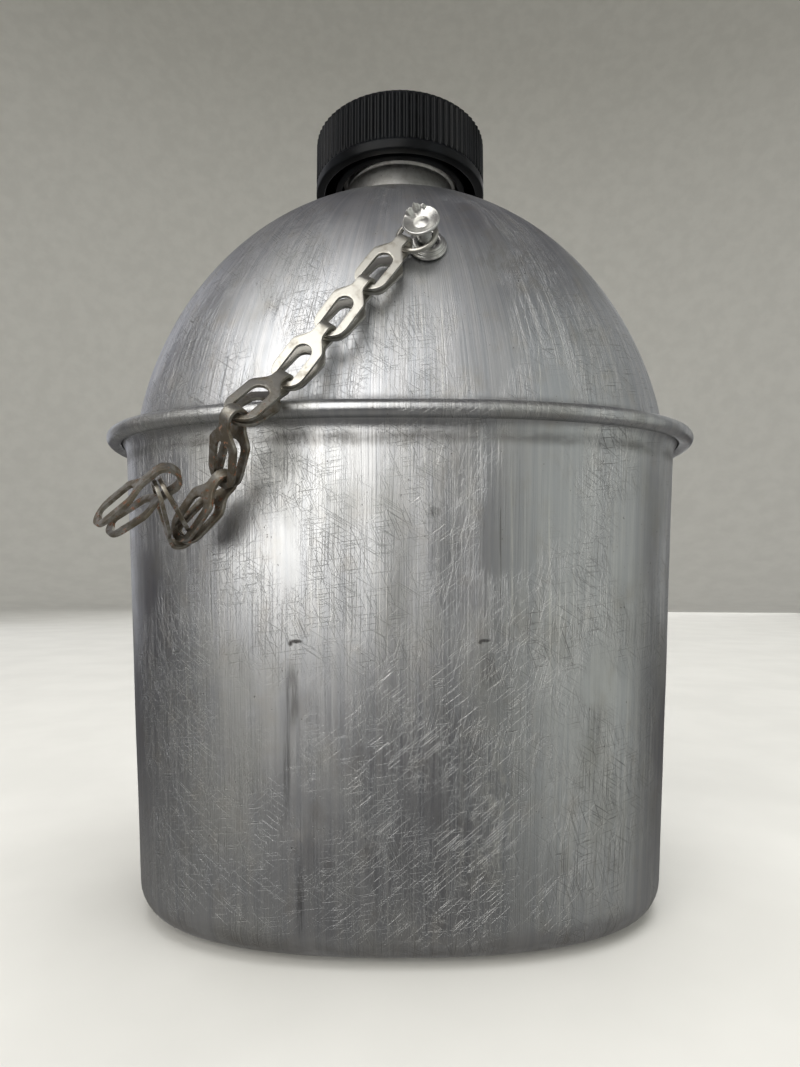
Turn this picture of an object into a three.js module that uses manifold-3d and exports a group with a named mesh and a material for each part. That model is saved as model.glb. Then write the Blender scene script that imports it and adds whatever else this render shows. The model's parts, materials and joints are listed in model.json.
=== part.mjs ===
// Kidney-section aluminium canteen nested in its canteen cup, with a screw cap, a folded-link chain and the cup's
// folding handle. Millimetres, +Z up. The origin is the centre of the box that holds everything, at table height.
// The front, convex and with the chain, faces -Y. The back is hollow, to sit against a hip, and carries the handle.
import * as THREE from "three";
import { mergeVertices } from "three/addons/utils/BufferGeometryUtils.js";
import Module from "manifold-3d";

const wasm = await Module();
wasm.setup();

const RAD = Math.PI / 180;
const GAP = 0.35; // between two pieces that touch

// ---------- driving dimensions ----------

// Cup: a tapered kidney-section wall that flares into a rolled rim.
const CUP_HALF_WIDTH = 70; // at the rim, without the roll
const CUP_BASE_HALF_WIDTH = 63.25;
const CUP_HEIGHT = 112.6; // to the middle of the rolled rim
const CUP_WALL = 1;
const CUP_CORNER = 7.5; // round between wall and bottom
const FRONT_DEPTH = 45; // from the widest line to the front, at the rim
const BACK_DEPTH = 31; // from the widest line to the two back lobes
const HOLLOW = 9; // depth of the hollow between the back lobes
const HOLLOW_HALF_WIDTH = 48;
const ROLL_RADIUS = 1.9;
const ROLL_OUTBOARD = 2.6; // wall to the middle of the roll

// Canteen: follows the cup inside, then a domed shoulder.
const CANTEEN_INSET = 1.9; // cup's outer face to the canteen's outer face
const CANTEEN_WALL = 1.2;
const CANTEEN_FLOOR = 1.6; // height of the underside
const SHOULDER_START = 110;
const SHOULDER_TOP = 177.6;
const SHOULDER_TOP_RADIUS = 18;
const SHOULDER_POWER = 1.77; // 2 is an ellipse, less is more conical
const SHOULDER_MEAN_REACH = 38; // mean of its reach sideways and forwards

// Neck, threaded where the cap covers it.
const NECK_RADIUS = 14.7;
const NECK_BORE = 12.4;
const NECK_TOP = 197;
const THREAD_CREST = 15.9;

// Cap.
const CAP_RADIUS = 23.4;
const CAP_BOTTOM = 184.6;
const CAP_TOP = 201;
const CAP_WALL = 2.4;
const THREAD_PITCH = 4;

// Chain: each link is a strip with two slotted loops, folded at its narrow waist round the last link's end.
const PITCH = 13.9; // fold centre to fold centre
const SHEET = 0.7;
const FOLD_INNER = 1.7; // inner radius of the fold
const END_HALF_GAP = 0.15; // between the two leaves at their tips
const END_BAR = 1.5; // metal past the slot
const LOOP_WIDTH = 7.4;
const WAIST_WIDTH = 2.4;
const SLOT_WIDTH = 4;
const SLOT_LENGTH = 8.4;
const SLOT_CORNER = 0.8; // at its far end, where the next link bears
const RING_RADIUS = 4.2; // to the middle of the wire
const RING_WIRE = 0.6;
const RING_HEIGHT = 4.6; // above the shoulder
const RING_SLACK = 1.8; // how far it hangs off the post's middle
const RING_TURN = 42 * RAD; // from straight left, towards down

// Handle, folded down the hollow back of the cup.
const PIN_HEIGHT = 84;
const PIN_RADIUS = 1.5;
const STRAP_WIDTH = 16;
const STRAP_SHEET = 1.6;
const STRAP_END = 6;
const BARREL_RADIUS = 3.2;
const BRACKET_HEIGHT = 26;
const BRACKET_HALF_WIDTH = 17;
const BRACKET_SHEET = 1.6;
const BRACKET_GAP = 0.6; // to the cup, whose wall is made of flats here
const EAR_SHEET = 1.8;
const RIVET_X = 13.4; // from the middle of the bracket
const RIVET_Z = 8.5;
const LATCH_SLOT_FROM = 26;
const LATCH_SLOT_TO = 70;
const LATCH_REST = 34;
const LATCH_HEIGHT = 12;

// ---------- materials ----------

function metal(color, roughness) {
  return new THREE.MeshStandardMaterial({ color, roughness, metalness: 1 });
}

const wornAluminium = metal(0xb6b7b8, 0.38);
const brightAluminium = metal(0xd6d6d4, 0.25);
const chainSteel = metal(0xa8a59c, 0.32);
const handleSteel = metal(0x9c9b97, 0.4);
const blackPlastic = new THREE.MeshStandardMaterial({ color: 0x17181b, roughness: 0.5, metalness: 0 });
const gasketRubber = new THREE.MeshStandardMaterial({ color: 0x3a332c, roughness: 0.9, metalness: 0 });

// ---------- helpers ----------

const canteenCupSet = new THREE.Group();

function addMesh(name, geometry, material, parent = canteenCupSet) {
  const mesh = new THREE.Mesh(geometry, material);
  mesh.name = name;
  parent.add(mesh);
  return mesh;
}

function toSolid(geometry) {
  const bare = geometry.clone();
  bare.deleteAttribute("normal");
  bare.deleteAttribute("uv");
  const merged = mergeVertices(bare, 1e-4);
  return new wasm.Manifold(
    new wasm.Mesh({
      numProp: 3,
      vertProperties: new Float32Array(merged.attributes.position.array),
      triVerts: new Uint32Array(merged.index.array),
    }),
  );
}

function toGeometry(solid) {
  const mesh = solid.getMesh();
  const geometry = new THREE.BufferGeometry();
  geometry.setAttribute("position", new THREE.BufferAttribute(mesh.vertProperties, 3));
  geometry.setIndex(new THREE.BufferAttribute(mesh.triVerts, 1));
  return geometry;
}

// A cylinder along the x, y or z axis, moved to a centre.
function rod(radius, length, alongAxis, centre, sides = 20) {
  const geometry = new THREE.CylinderGeometry(radius, radius, length, sides);
  if (alongAxis === "z") geometry.rotateX(Math.PI / 2);
  if (alongAxis === "x") geometry.rotateZ(Math.PI / 2);
  return geometry.translate(...centre);
}

function block(size, centre) {
  return new THREE.BoxGeometry(...size).translate(...centre);
}

// LatheGeometry turns about Y; this stands its profile of [radius, height] pairs on Z.
function lathe(profile, sides = 32) {
  const points = profile.map(([radius, height]) => new THREE.Vector2(radius, height));
  return new THREE.LatheGeometry(points, sides).rotateX(Math.PI / 2);
}

// A closed skin over a list of rings, each with the same number of [x, y, z] points, counter-clockwise from above.
// The first and last ring close on their own middle point.
function skin(rings) {
  const count = rings[0].length;
  const middles = [rings[0], rings[rings.length - 1]].map((ring) =>
    [0, 1, 2].map((axis) => ring.reduce((sum, point) => sum + point[axis], 0) / count),
  );
  const positions = [...rings.flat(2), ...middles.flat()];
  const firstMiddle = rings.length * count;
  const index = [];
  for (let i = 0; i < count; i++) {
    const next = (i + 1) % count;
    for (let r = 0; r + 1 < rings.length; r++) {
      const a = r * count + i;
      const b = r * count + next;
      index.push(a, b, a + count, b, b + count, a + count);
    }
    const last = (rings.length - 1) * count;
    index.push(firstMiddle, next, i, firstMiddle + 1, last + i, last + next);
  }
  const geometry = new THREE.BufferGeometry();
  geometry.setAttribute("position", new THREE.Float32BufferAttribute(positions, 3));
  geometry.setIndex(index);
  return geometry;
}

function cut(solid, ...geometries) {
  return geometries.reduce((left, geometry) => left.subtract(toSolid(geometry)), solid);
}

function join(...geometries) {
  return geometries.map(toSolid).reduce((all, solid) => all.add(solid));
}

// ---------- the kidney section ----------

const SECTION_POINTS = 44;

// Outline of the kidney at full size: a superellipse whose back is pushed in by a smooth hollow. Returns the point
// at an angle, for a half width, front depth, back depth, hollow depth and the three superellipse powers.
function kidneyPoint(angle, s) {
  const c = Math.cos(angle);
  const n = Math.sin(angle);
  const x = s.halfWidth * Math.sign(c) * Math.abs(c) ** (2 / s.sidePower);
  if (n < 0) return [x, -s.front * Math.abs(n) ** (2 / s.frontPower)];
  const reach = Math.min(1, Math.abs(x) / s.hollowHalfWidth);
  return [x, s.back * n ** (2 / s.backPower) - s.hollow * (1 - reach * reach) ** 2];
}

// The whole outline, counter-clockwise from above, moved inwards by an inset along its own normal.
function kidney(section, inset, height) {
  const ring = [];
  for (let i = 0; i < SECTION_POINTS; i++) {
    const angle = (2 * Math.PI * (i + 0.5)) / SECTION_POINTS;
    const [x, y] = kidneyPoint(angle, section);
    const [x1, y1] = kidneyPoint(angle - 0.02, section);
    const [x2, y2] = kidneyPoint(angle + 0.02, section);
    const length = Math.hypot(x2 - x1, y2 - y1);
    ring.push([x - (inset * (y2 - y1)) / length, y + (inset * (x2 - x1)) / length, height]);
  }
  return ring;
}

// The cup's section at a height: everything grows with the taper.
function cupSection(height) {
  const halfWidth = CUP_BASE_HALF_WIDTH + ((CUP_HALF_WIDTH - CUP_BASE_HALF_WIDTH) * height) / CUP_HEIGHT;
  const grow = halfWidth / CUP_HALF_WIDTH;
  return {
    halfWidth,
    front: FRONT_DEPTH * grow,
    back: BACK_DEPTH * grow,
    hollow: HOLLOW * grow,
    hollowHalfWidth: HOLLOW_HALF_WIDTH * grow,
    sidePower: 2.36,
    frontPower: 2.7,
    backPower: 3,
  };
}

// The canteen's section on the shoulder, from share 1 at its foot to share 0 at the neck, where it is round.
function shoulderSection(share) {
  const foot = cupSection(SHOULDER_START);
  const between = (full, round) => round + (full - round) * share;
  return {
    halfWidth: between(foot.halfWidth - CANTEEN_INSET, SHOULDER_TOP_RADIUS),
    front: between(foot.front - CANTEEN_INSET, SHOULDER_TOP_RADIUS),
    back: between(foot.back - CANTEEN_INSET, SHOULDER_TOP_RADIUS),
    hollow: foot.hollow * share,
    hollowHalfWidth: between(foot.hollowHalfWidth, SHOULDER_TOP_RADIUS),
    sidePower: between(foot.sidePower, 2),
    frontPower: between(foot.frontPower, 2),
    backPower: between(foot.backPower, 2),
  };
}

// A point of the shoulder's profile, from turn 0 at its foot to a quarter turn at its top: the share of the section
// that is left, the height, and the profile's own normal as parts outwards and upwards.
function shoulderProfile(turn) {
  const c = Math.cos(turn);
  const s = Math.sin(turn);
  const rise = SHOULDER_TOP - SHOULDER_START;
  const outwards = Math.abs(c) ** (2 - 2 / SHOULDER_POWER) / SHOULDER_MEAN_REACH;
  const upwards = Math.abs(s) ** (2 - 2 / SHOULDER_POWER) / rise;
  const length = Math.hypot(outwards, upwards);
  return {
    share: Math.max(0, c) ** (2 / SHOULDER_POWER),
    height: SHOULDER_START + rise * s ** (2 / SHOULDER_POWER),
    outwards: outwards / length,
    upwards: upwards / length,
  };
}

function shoulderRing(turn, inset) {
  const profile = shoulderProfile(turn);
  const height = profile.height - inset * profile.upwards;
  return kidney(shoulderSection(profile.share), inset * profile.outwards, height);
}

// Rings of one face of a vessel's lower part, from the middle of the bottom up the wall: a flat bottom, a quarter
// round corner and a tapered wall up to a height.
function vesselFace(inset, floor, corner, top, wallSteps) {
  const rings = [];
  const base = kidney(cupSection(floor), inset + corner, floor);
  rings.push(base.map(([x, y, z]) => [x * 0.4, y * 0.4, z]));
  const cornerSteps = 4;
  for (let i = 0; i <= cornerSteps; i++) {
    const turn = (Math.PI / 2) * (1 - i / cornerSteps);
    const height = floor + corner * (1 - Math.sin(turn));
    rings.push(kidney(cupSection(height), inset + corner * (1 - Math.cos(turn)), height));
  }
  for (let i = 1; i <= wallSteps; i++) {
    const height = floor + corner + ((top - floor - corner) * i) / wallSteps;
    rings.push(kidney(cupSection(height), inset, height));
  }
  return rings;
}

// ---------- cup ----------

// The roll: the sheet leaves the wall, rises over the top and curls down and under, ending just short of the wall.
function rollFace(radius) {
  const section = cupSection(CUP_HEIGHT);
  const rings = [];
  const steps = 7;
  for (let i = 0; i <= steps; i++) {
    const turn = (190 - (i / steps) * 330) * RAD;
    const outboard = ROLL_OUTBOARD + radius * Math.cos(turn);
    rings.push(kidney(section, -outboard, CUP_HEIGHT + radius * Math.sin(turn)));
  }
  return rings;
}

function cupShell() {
  const flareHeight = CUP_HEIGHT - 4;
  const outside = vesselFace(0, 0, CUP_CORNER, flareHeight, 3);
  const inside = vesselFace(CUP_WALL, CUP_WALL, CUP_CORNER - CUP_WALL, flareHeight, 3);
  const underRoll = rollFace(ROLL_RADIUS - CUP_WALL);
  const overRoll = rollFace(ROLL_RADIUS).reverse();
  return toSolid(skin([...outside, ...underRoll, ...overRoll, ...inside.reverse()]));
}

// ---------- canteen and neck ----------

function canteenShell() {
  const corner = CUP_CORNER - CANTEEN_INSET;
  const shoulderSteps = 9;
  const outer = vesselFace(CANTEEN_INSET, CANTEEN_FLOOR, corner, SHOULDER_START - 4, 2);
  const innerFloor = CANTEEN_FLOOR + CANTEEN_WALL;
  const inner = vesselFace(
    CANTEEN_INSET + CANTEEN_WALL, innerFloor, corner - CANTEEN_WALL, SHOULDER_START - 4, 2,
  );
  for (let i = 0; i <= shoulderSteps; i++) {
    const turn = (Math.PI / 2) * (i / shoulderSteps);
    outer.push(shoulderRing(turn, 0));
    inner.push(shoulderRing(turn, CANTEEN_WALL));
  }
  const hole = NECK_RADIUS + GAP;
  const round = { ...shoulderSection(0), halfWidth: hole, front: hole, back: hole };
  outer.push(kidney(round, 0, SHOULDER_TOP + 0.6));
  inner.push(kidney(round, 0, SHOULDER_TOP + 0.6 - CANTEEN_WALL));
  return skin([...outer, ...inner.reverse()]);
}

function canteenNeck() {
  const flange = SHOULDER_TOP - 3;
  const profile = [
    [NECK_BORE, flange],
    [NECK_RADIUS + 2, flange],
    [NECK_RADIUS + 2, flange + 1],
    [NECK_RADIUS, flange + 1.2],
    [NECK_RADIUS, SHOULDER_TOP + 1.2],
    [NECK_RADIUS + 0.7, SHOULDER_TOP + 1.5],
    [NECK_RADIUS, SHOULDER_TOP + 2.8],
  ];
  const threads = 3;
  for (let i = 0; i < threads; i++) {
    const foot = CAP_BOTTOM + 2 + i * THREAD_PITCH;
    profile.push(
      [NECK_RADIUS, foot], [THREAD_CREST, foot + 0.9], [THREAD_CREST, foot + 1.3], [NECK_RADIUS, foot + 2.2],
    );
  }
  profile.push([NECK_RADIUS, NECK_TOP], [NECK_BORE, NECK_TOP], [NECK_BORE, flange]);
  return lathe(profile, 28);
}

// ---------- cap ----------

// The skirt carries the ribs. A second, inner wall takes the neck's thread, with a moulder's groove between them.
function capShell() {
  const rib = 0.5;
  const inner = THREAD_CREST + 0.5;
  const innerWall = 1.8;
  const roof = CAP_TOP - 1.6;
  return lathe([
    [0, CAP_TOP],
    [CAP_RADIUS - 1.8, CAP_TOP],
    [CAP_RADIUS - rib, CAP_TOP - 1.4],
    [CAP_RADIUS - rib, CAP_BOTTOM + 2.8],
    [CAP_RADIUS, CAP_BOTTOM + 2.5],
    [CAP_RADIUS, CAP_BOTTOM],
    [CAP_RADIUS - CAP_WALL, CAP_BOTTOM],
    [CAP_RADIUS - CAP_WALL, roof - 2.2],
    [inner + innerWall, roof - 2.2],
    [inner + innerWall, CAP_BOTTOM + 1.2],
    [inner, CAP_BOTTOM + 1.2],
    [inner, roof],
    [0, roof],
  ].reverse(), 36);
}

function capGasket() {
  const bottom = NECK_TOP + GAP;
  const top = CAP_TOP - 1.6 - GAP;
  return new THREE.CylinderGeometry(15.8, 15.8, top - bottom, 32)
    .rotateX(Math.PI / 2)
    .translate(0, 0, (top + bottom) / 2);
}

// ---------- chain ----------

// A point of the front of the shoulder, for an x and a turn along the profile, and the outward normal there.
function shoulderFront(x, turn) {
  const profile = shoulderProfile(turn);
  const section = shoulderSection(profile.share);
  const side = Math.sign(x) * (Math.abs(x) / section.halfWidth) ** (section.sidePower / 2);
  const [, y] = kidneyPoint(-Math.acos(side), section);
  return new THREE.Vector3(x, y, profile.height);
}

function shoulderNormal(x, turn) {
  const step = 0.01;
  const sideways = shoulderFront(x + step, turn).sub(shoulderFront(x - step, turn));
  const upwards = shoulderFront(x, turn + step).sub(shoulderFront(x, turn - step));
  return sideways.cross(upwards).normalize();
}

function turnTo(group, along) {
  group.quaternion.setFromUnitVectors(new THREE.Vector3(0, 0, 1), along);
}

// A link lies along +X from the fold's centre, its leaves facing up and down Z. The side view, a hairpin, is cut to
// the plan, two slotted loops one above the other.
function chainLink({ foldInner, tipHalfGap, length, foldBack }) {
  const outer = foldInner + SHEET;
  const hairpin = new THREE.Shape();
  hairpin.moveTo(length, tipHalfGap + SHEET);
  hairpin.lineTo(-foldBack, outer);
  hairpin.absarc(-foldBack, 0, outer, Math.PI / 2, (3 * Math.PI) / 2, false);
  hairpin.lineTo(length, -tipHalfGap - SHEET);
  hairpin.lineTo(length, -tipHalfGap);
  hairpin.lineTo(-foldBack, -foldInner);
  hairpin.absarc(-foldBack, 0, foldInner, (3 * Math.PI) / 2, Math.PI / 2, true);
  hairpin.lineTo(length, tipHalfGap);
  const sheet = new THREE.ExtrudeGeometry(hairpin, { depth: LOOP_WIDTH + 1, bevelEnabled: false, curveSegments: 6 });
  sheet.rotateX(Math.PI / 2).translate(0, (LOOP_WIDTH + 1) / 2, 0);

  const waist = WAIST_WIDTH / 2;
  const loop = LOOP_WIDTH / 2;
  const plan = new THREE.Shape();
  plan.moveTo(-8, -waist);
  plan.lineTo(1.8, -waist);
  plan.bezierCurveTo(3.6, -waist, 3.6, -loop, 5.8, -loop);
  plan.lineTo(length - loop, -loop);
  plan.absarc(length - loop, 0, loop, -Math.PI / 2, Math.PI / 2, false);
  plan.lineTo(5.8, loop);
  plan.bezierCurveTo(3.6, loop, 3.6, waist, 1.8, waist);
  plan.lineTo(-8, waist);
  const slotFar = length - END_BAR;
  const slotNear = slotFar - SLOT_LENGTH;
  const slotHalf = SLOT_WIDTH / 2;
  const slot = new THREE.Path();
  slot.absarc(slotFar - SLOT_CORNER, -slotHalf + SLOT_CORNER, SLOT_CORNER, -Math.PI / 2, 0, false);
  slot.absarc(slotFar - SLOT_CORNER, slotHalf - SLOT_CORNER, SLOT_CORNER, 0, Math.PI / 2, false);
  slot.absarc(slotNear + slotHalf, 0, slotHalf, Math.PI / 2, (3 * Math.PI) / 2, false);
  plan.holes.push(slot);
  const height = 16;
  const blank = new THREE.ExtrudeGeometry(plan, { depth: height, bevelEnabled: false, curveSegments: 4 });
  blank.translate(0, 0, -height / 2);
  return toGeometry(toSolid(sheet).intersect(toSolid(blank)));
}

// How each link lies on the one before it, in degrees: bend about its fold (minus lifts it off the vessel), swing
// sideways in the slot, and twist about its own length. The chain runs down over the rim and doubles back.
const CHAIN_LAY = [
  { bend: -8, swing: 18, twist: -6 },
  { bend: 4, swing: 0, twist: 1 },
  { bend: 2, swing: -2, twist: -1 },
  { bend: -24, swing: 3, twist: 2 },
  { bend: 70, swing: 3, twist: 11 },
  { bend: -33, swing: -7, twist: 7 },
  { bend: -123, swing: -1, twist: -9 },
  { bend: 116, swing: -7, twist: 13 },
];

function buildChain() {
  const studX = 6;
  const studTurn = 41.4 * RAD;
  const foot = shoulderFront(studX, studTurn);
  const normal = shoulderNormal(studX, studTurn);
  const lean = normal.clone().add(new THREE.Vector3(-0.25, 0, 0)).normalize();

  const seat = new THREE.Group();
  seat.position.copy(foot);
  turnTo(seat, normal);
  canteenCupSet.add(seat);
  const washer = [[2.5, GAP], [4.3, GAP], [4.3, 1], [3.6, 1.2], [3.6, 1.7], [2.5, 1.7], [2.5, GAP]];
  addMesh("stud_base", lathe(washer, 20), brightAluminium, seat);

  const post = new THREE.Group();
  post.position.copy(foot);
  turnTo(post, lean);
  canteenCupSet.add(post);
  const stud = [[0, 0.6], [1.6, 0.6], [1.6, 6.8], [4.1, 7.3], [4.1, 8.1], [0, 8.4]];
  addMesh("chain_stud", lathe(stud, 20), brightAluminium, post);

  // The ring hangs against the post's lower left, towards the chain.
  const down = new THREE.Vector3(0, 0, -1).cross(lean).normalize().applyAxisAngle(lean, RING_TURN);
  const across = lean.clone().cross(down);
  const ring = new THREE.Group();
  ring.position.copy(foot).addScaledVector(lean, RING_HEIGHT).addScaledVector(down, RING_SLACK);
  ring.quaternion.setFromRotationMatrix(new THREE.Matrix4().makeBasis(down, across, lean));
  canteenCupSet.add(ring);
  const wire = [];
  const sides = 8;
  for (let i = 0; i <= sides; i++) {
    const turn = (2 * Math.PI * i) / sides;
    wire.push([RING_RADIUS + RING_WIRE * Math.cos(turn), RING_WIRE * Math.sin(turn)]);
  }
  addMesh("swivel_ring", lathe(wire, 20), chainSteel, ring);

  const common = { foldInner: FOLD_INNER, tipHalfGap: END_HALF_GAP, length: PITCH + END_BAR / 2, foldBack: 0 };
  const last = { foldInner: 2, tipHalfGap: 1.1, length: 13.6, foldBack: 1.8 };
  let holder = ring;
  let step = RING_RADIUS;
  CHAIN_LAY.forEach(({ bend, swing, twist }, i) => {
    const link = new THREE.Group();
    link.position.set(step, 0, 0);
    link.rotation.set(twist * RAD, bend * RAD, swing * RAD, "YZX");
    holder.add(link);
    const shape = i === CHAIN_LAY.length - 1 ? last : common;
    addMesh(`chain_link_${i + 1}`, chainLink(shape), chainSteel, link);
    holder = link;
    step = PITCH;
  });
}

// ---------- handle ----------

function buildHandle() {
  const wall = cupSection(PIN_HEIGHT + BRACKET_HEIGHT / 2);
  const wallBack = wall.back - wall.hollow;
  const pinY = wallBack + BRACKET_GAP + BRACKET_SHEET + 2 * GAP + BARREL_RADIUS;

  // The plate follows the hollow wall; its two ears hold the pin.
  const plateFace = (offset, sign) => {
    const points = [];
    for (let i = -6; i <= 6; i++) {
      const x = (sign * i * BRACKET_HALF_WIDTH) / 6;
      const reach = x / wall.hollowHalfWidth;
      points.push(new THREE.Vector2(x, wall.back - wall.hollow * (1 - reach * reach) ** 2 + offset));
    }
    return points;
  };
  const plateOutline = [...plateFace(BRACKET_GAP, 1), ...plateFace(BRACKET_GAP + BRACKET_SHEET, -1)];
  const plate = new THREE.ExtrudeGeometry(new THREE.Shape(plateOutline), {
    depth: BRACKET_HEIGHT,
    bevelEnabled: false,
  }).translate(0, 0, PIN_HEIGHT - BRACKET_HEIGHT / 2);
  const earX = STRAP_WIDTH / 2 + GAP + EAR_SHEET / 2;
  const earFoot = wallBack + BRACKET_GAP + 1;
  const ears = [-1, 1].flatMap((side) => [
    block([EAR_SHEET, pinY - earFoot, 8], [side * earX, (pinY + earFoot) / 2, PIN_HEIGHT]),
    rod(4, EAR_SHEET, "x", [side * earX, pinY, PIN_HEIGHT]),
  ]);
  let bracket = cut(join(plate, ...ears), rod(PIN_RADIUS + GAP, 60, "x", [0, pinY, PIN_HEIGHT], 16));
  let cup = cupShell();

  // Rivets stand square to the plate where they pass through it and the cup's wall.
  for (const [i, [side, up]] of [[-1, 1], [1, 1], [-1, -1], [1, -1]].entries()) {
    const x = side * RIVET_X;
    const height = PIN_HEIGHT + up * RIVET_Z;
    const reach = x / wall.hollowHalfWidth;
    const slope = (4 * wall.hollow * (1 - reach * reach) * reach) / wall.hollowHalfWidth;
    const face = wall.back - wall.hollow * (1 - reach * reach) ** 2 + BRACKET_GAP + BRACKET_SHEET;
    const seat = new THREE.Group();
    seat.position.set(x, face, height);
    turnTo(seat, new THREE.Vector3(-slope, 1, 0).normalize());
    seat.updateMatrix();
    canteenCupSet.add(seat);
    const head = [[0, -2.7], [1.4, -2.7], [1.4, GAP], [2.7, GAP], [2.5, 0.9], [1.6, 1.5], [0, 1.7]];
    addMesh(`handle_rivet_${i + 1}`, lathe(head, 16), handleSteel, seat);
    const hole = rod(1.4 + GAP, 12, "z", [0, 0, 0], 16).applyMatrix4(seat.matrix);
    bracket = cut(bracket, hole);
    cup = cut(cup, hole);
  }
  addMesh("cup_shell", toGeometry(cup), wornAluminium);
  addMesh("handle_bracket", toGeometry(bracket), handleSteel);

  const pinLength = 2 * (earX + EAR_SHEET / 2 + GAP);
  const pinHead = 1.2;
  const pin = join(
    rod(PIN_RADIUS, pinLength + 2 * pinHead, "x", [0, pinY, PIN_HEIGHT], 16),
    rod(PIN_RADIUS + 1, pinHead, "x", [pinLength / 2 + pinHead / 2, pinY, PIN_HEIGHT], 16),
    rod(PIN_RADIUS + 1, pinHead, "x", [-pinLength / 2 - pinHead / 2, pinY, PIN_HEIGHT], 16),
  );
  addMesh("handle_pin", toGeometry(pin), handleSteel);

  // The strap hangs from a barrel rolled round the pin. It is slotted for the latch, with a finger hole at its end.
  const strapInner = pinY - BARREL_RADIUS;
  const half = STRAP_WIDTH / 2;
  const outline = new THREE.Shape();
  outline.moveTo(half, PIN_HEIGHT);
  outline.lineTo(-half, PIN_HEIGHT);
  outline.lineTo(-half, STRAP_END + half);
  outline.absarc(0, STRAP_END + half, half, Math.PI, 2 * Math.PI, false);
  const oval = (from, to, radius) => {
    const path = new THREE.Path();
    path.absarc(0, to - radius, radius, 0, Math.PI, false);
    path.absarc(0, from + radius, radius, Math.PI, 2 * Math.PI, false);
    return path;
  };
  outline.holes.push(oval(LATCH_SLOT_FROM, LATCH_SLOT_TO, 2.5), oval(STRAP_END + 4, STRAP_END + 13, 3));
  const leaf = new THREE.ExtrudeGeometry(outline, { depth: STRAP_SHEET, bevelEnabled: false, curveSegments: 6 });
  leaf.rotateX(Math.PI / 2).translate(0, strapInner + STRAP_SHEET, 0);
  const barrel = rod(BARREL_RADIUS, STRAP_WIDTH, "x", [0, pinY, PIN_HEIGHT], 20);
  const bore = rod(PIN_RADIUS + GAP, STRAP_WIDTH + 2, "x", [0, pinY, PIN_HEIGHT], 16);
  addMesh("handle_strap", toGeometry(cut(join(leaf, barrel), bore)), handleSteel);

  // The latch is a sleeve on the strap; its stud runs in the slot.
  const sleeveWall = 1;
  const strapMiddle = strapInner + STRAP_SHEET / 2;
  const sleeve = cut(
    toSolid(block(
      [STRAP_WIDTH + 2 * (GAP + sleeveWall + 0.8), STRAP_SHEET + 2 * (GAP + sleeveWall), LATCH_HEIGHT],
      [0, strapMiddle, LATCH_REST],
    )),
    block([STRAP_WIDTH + 2 * GAP, STRAP_SHEET + 2 * GAP, LATCH_HEIGHT + 2], [0, strapMiddle, LATCH_REST]),
    rod(1.5 + GAP, 6, "y", [0, strapMiddle + 4, LATCH_REST], 16),
  );
  addMesh("handle_latch", toGeometry(sleeve), handleSteel);
  const stud = lathe([[0, -1.4], [1.5, -1.4], [1.5, 2.1], [3.4, 2.1], [3.4, 3.4], [0, 3.8]], 16);
  stud.rotateX(-Math.PI / 2).translate(0, strapMiddle + 0.4, LATCH_REST);
  addMesh("latch_stud", stud, handleSteel);
}

addMesh("canteen_shell", canteenShell(), wornAluminium);
addMesh("canteen_neck", canteenNeck(), brightAluminium);
addMesh("cap_shell", capShell(), blackPlastic);
addMesh("cap_gasket", capGasket(), gasketRubber);
buildChain();
buildHandle();

// Move everything so that the origin is the middle of the box that holds it, front to back.
canteenCupSet.updateMatrixWorld(true);
const box = new THREE.Box3().setFromObject(canteenCupSet, true);
canteenCupSet.position.y = -(box.min.y + box.max.y) / 2;

export default canteenCupSet;
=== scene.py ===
"""Looks of a kidney-section aluminium canteen standing in its cup, with a ribbed cap, a folded-link chain
and the cup's folding handle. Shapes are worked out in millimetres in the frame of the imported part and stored
in metres."""

import json
import math

import bpy
import numpy as np
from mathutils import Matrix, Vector


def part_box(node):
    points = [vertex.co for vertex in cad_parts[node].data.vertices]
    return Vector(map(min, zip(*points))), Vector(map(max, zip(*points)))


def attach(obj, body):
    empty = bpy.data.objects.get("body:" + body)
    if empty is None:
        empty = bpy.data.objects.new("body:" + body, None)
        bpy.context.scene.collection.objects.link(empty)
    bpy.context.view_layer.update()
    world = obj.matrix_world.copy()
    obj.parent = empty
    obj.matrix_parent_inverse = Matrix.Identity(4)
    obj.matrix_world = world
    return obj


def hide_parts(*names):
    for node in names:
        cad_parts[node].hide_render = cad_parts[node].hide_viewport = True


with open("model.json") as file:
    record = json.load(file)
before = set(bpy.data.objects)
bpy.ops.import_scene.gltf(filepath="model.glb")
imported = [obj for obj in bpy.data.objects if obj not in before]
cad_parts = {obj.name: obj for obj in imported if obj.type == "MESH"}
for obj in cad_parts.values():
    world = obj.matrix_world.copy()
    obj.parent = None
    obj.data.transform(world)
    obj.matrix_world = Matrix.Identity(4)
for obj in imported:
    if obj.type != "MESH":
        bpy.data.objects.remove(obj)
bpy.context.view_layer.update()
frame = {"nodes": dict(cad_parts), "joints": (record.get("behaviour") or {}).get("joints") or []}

MM = 0.001
cap_low, cap_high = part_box("cap_shell")
MIDDLE_Y = (cap_low.y + cap_high.y) / 2 / MM  # the neck's axis, in the frame of the part
JOINTS = {joint["name"]: joint for joint in frame["joints"]}

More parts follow.
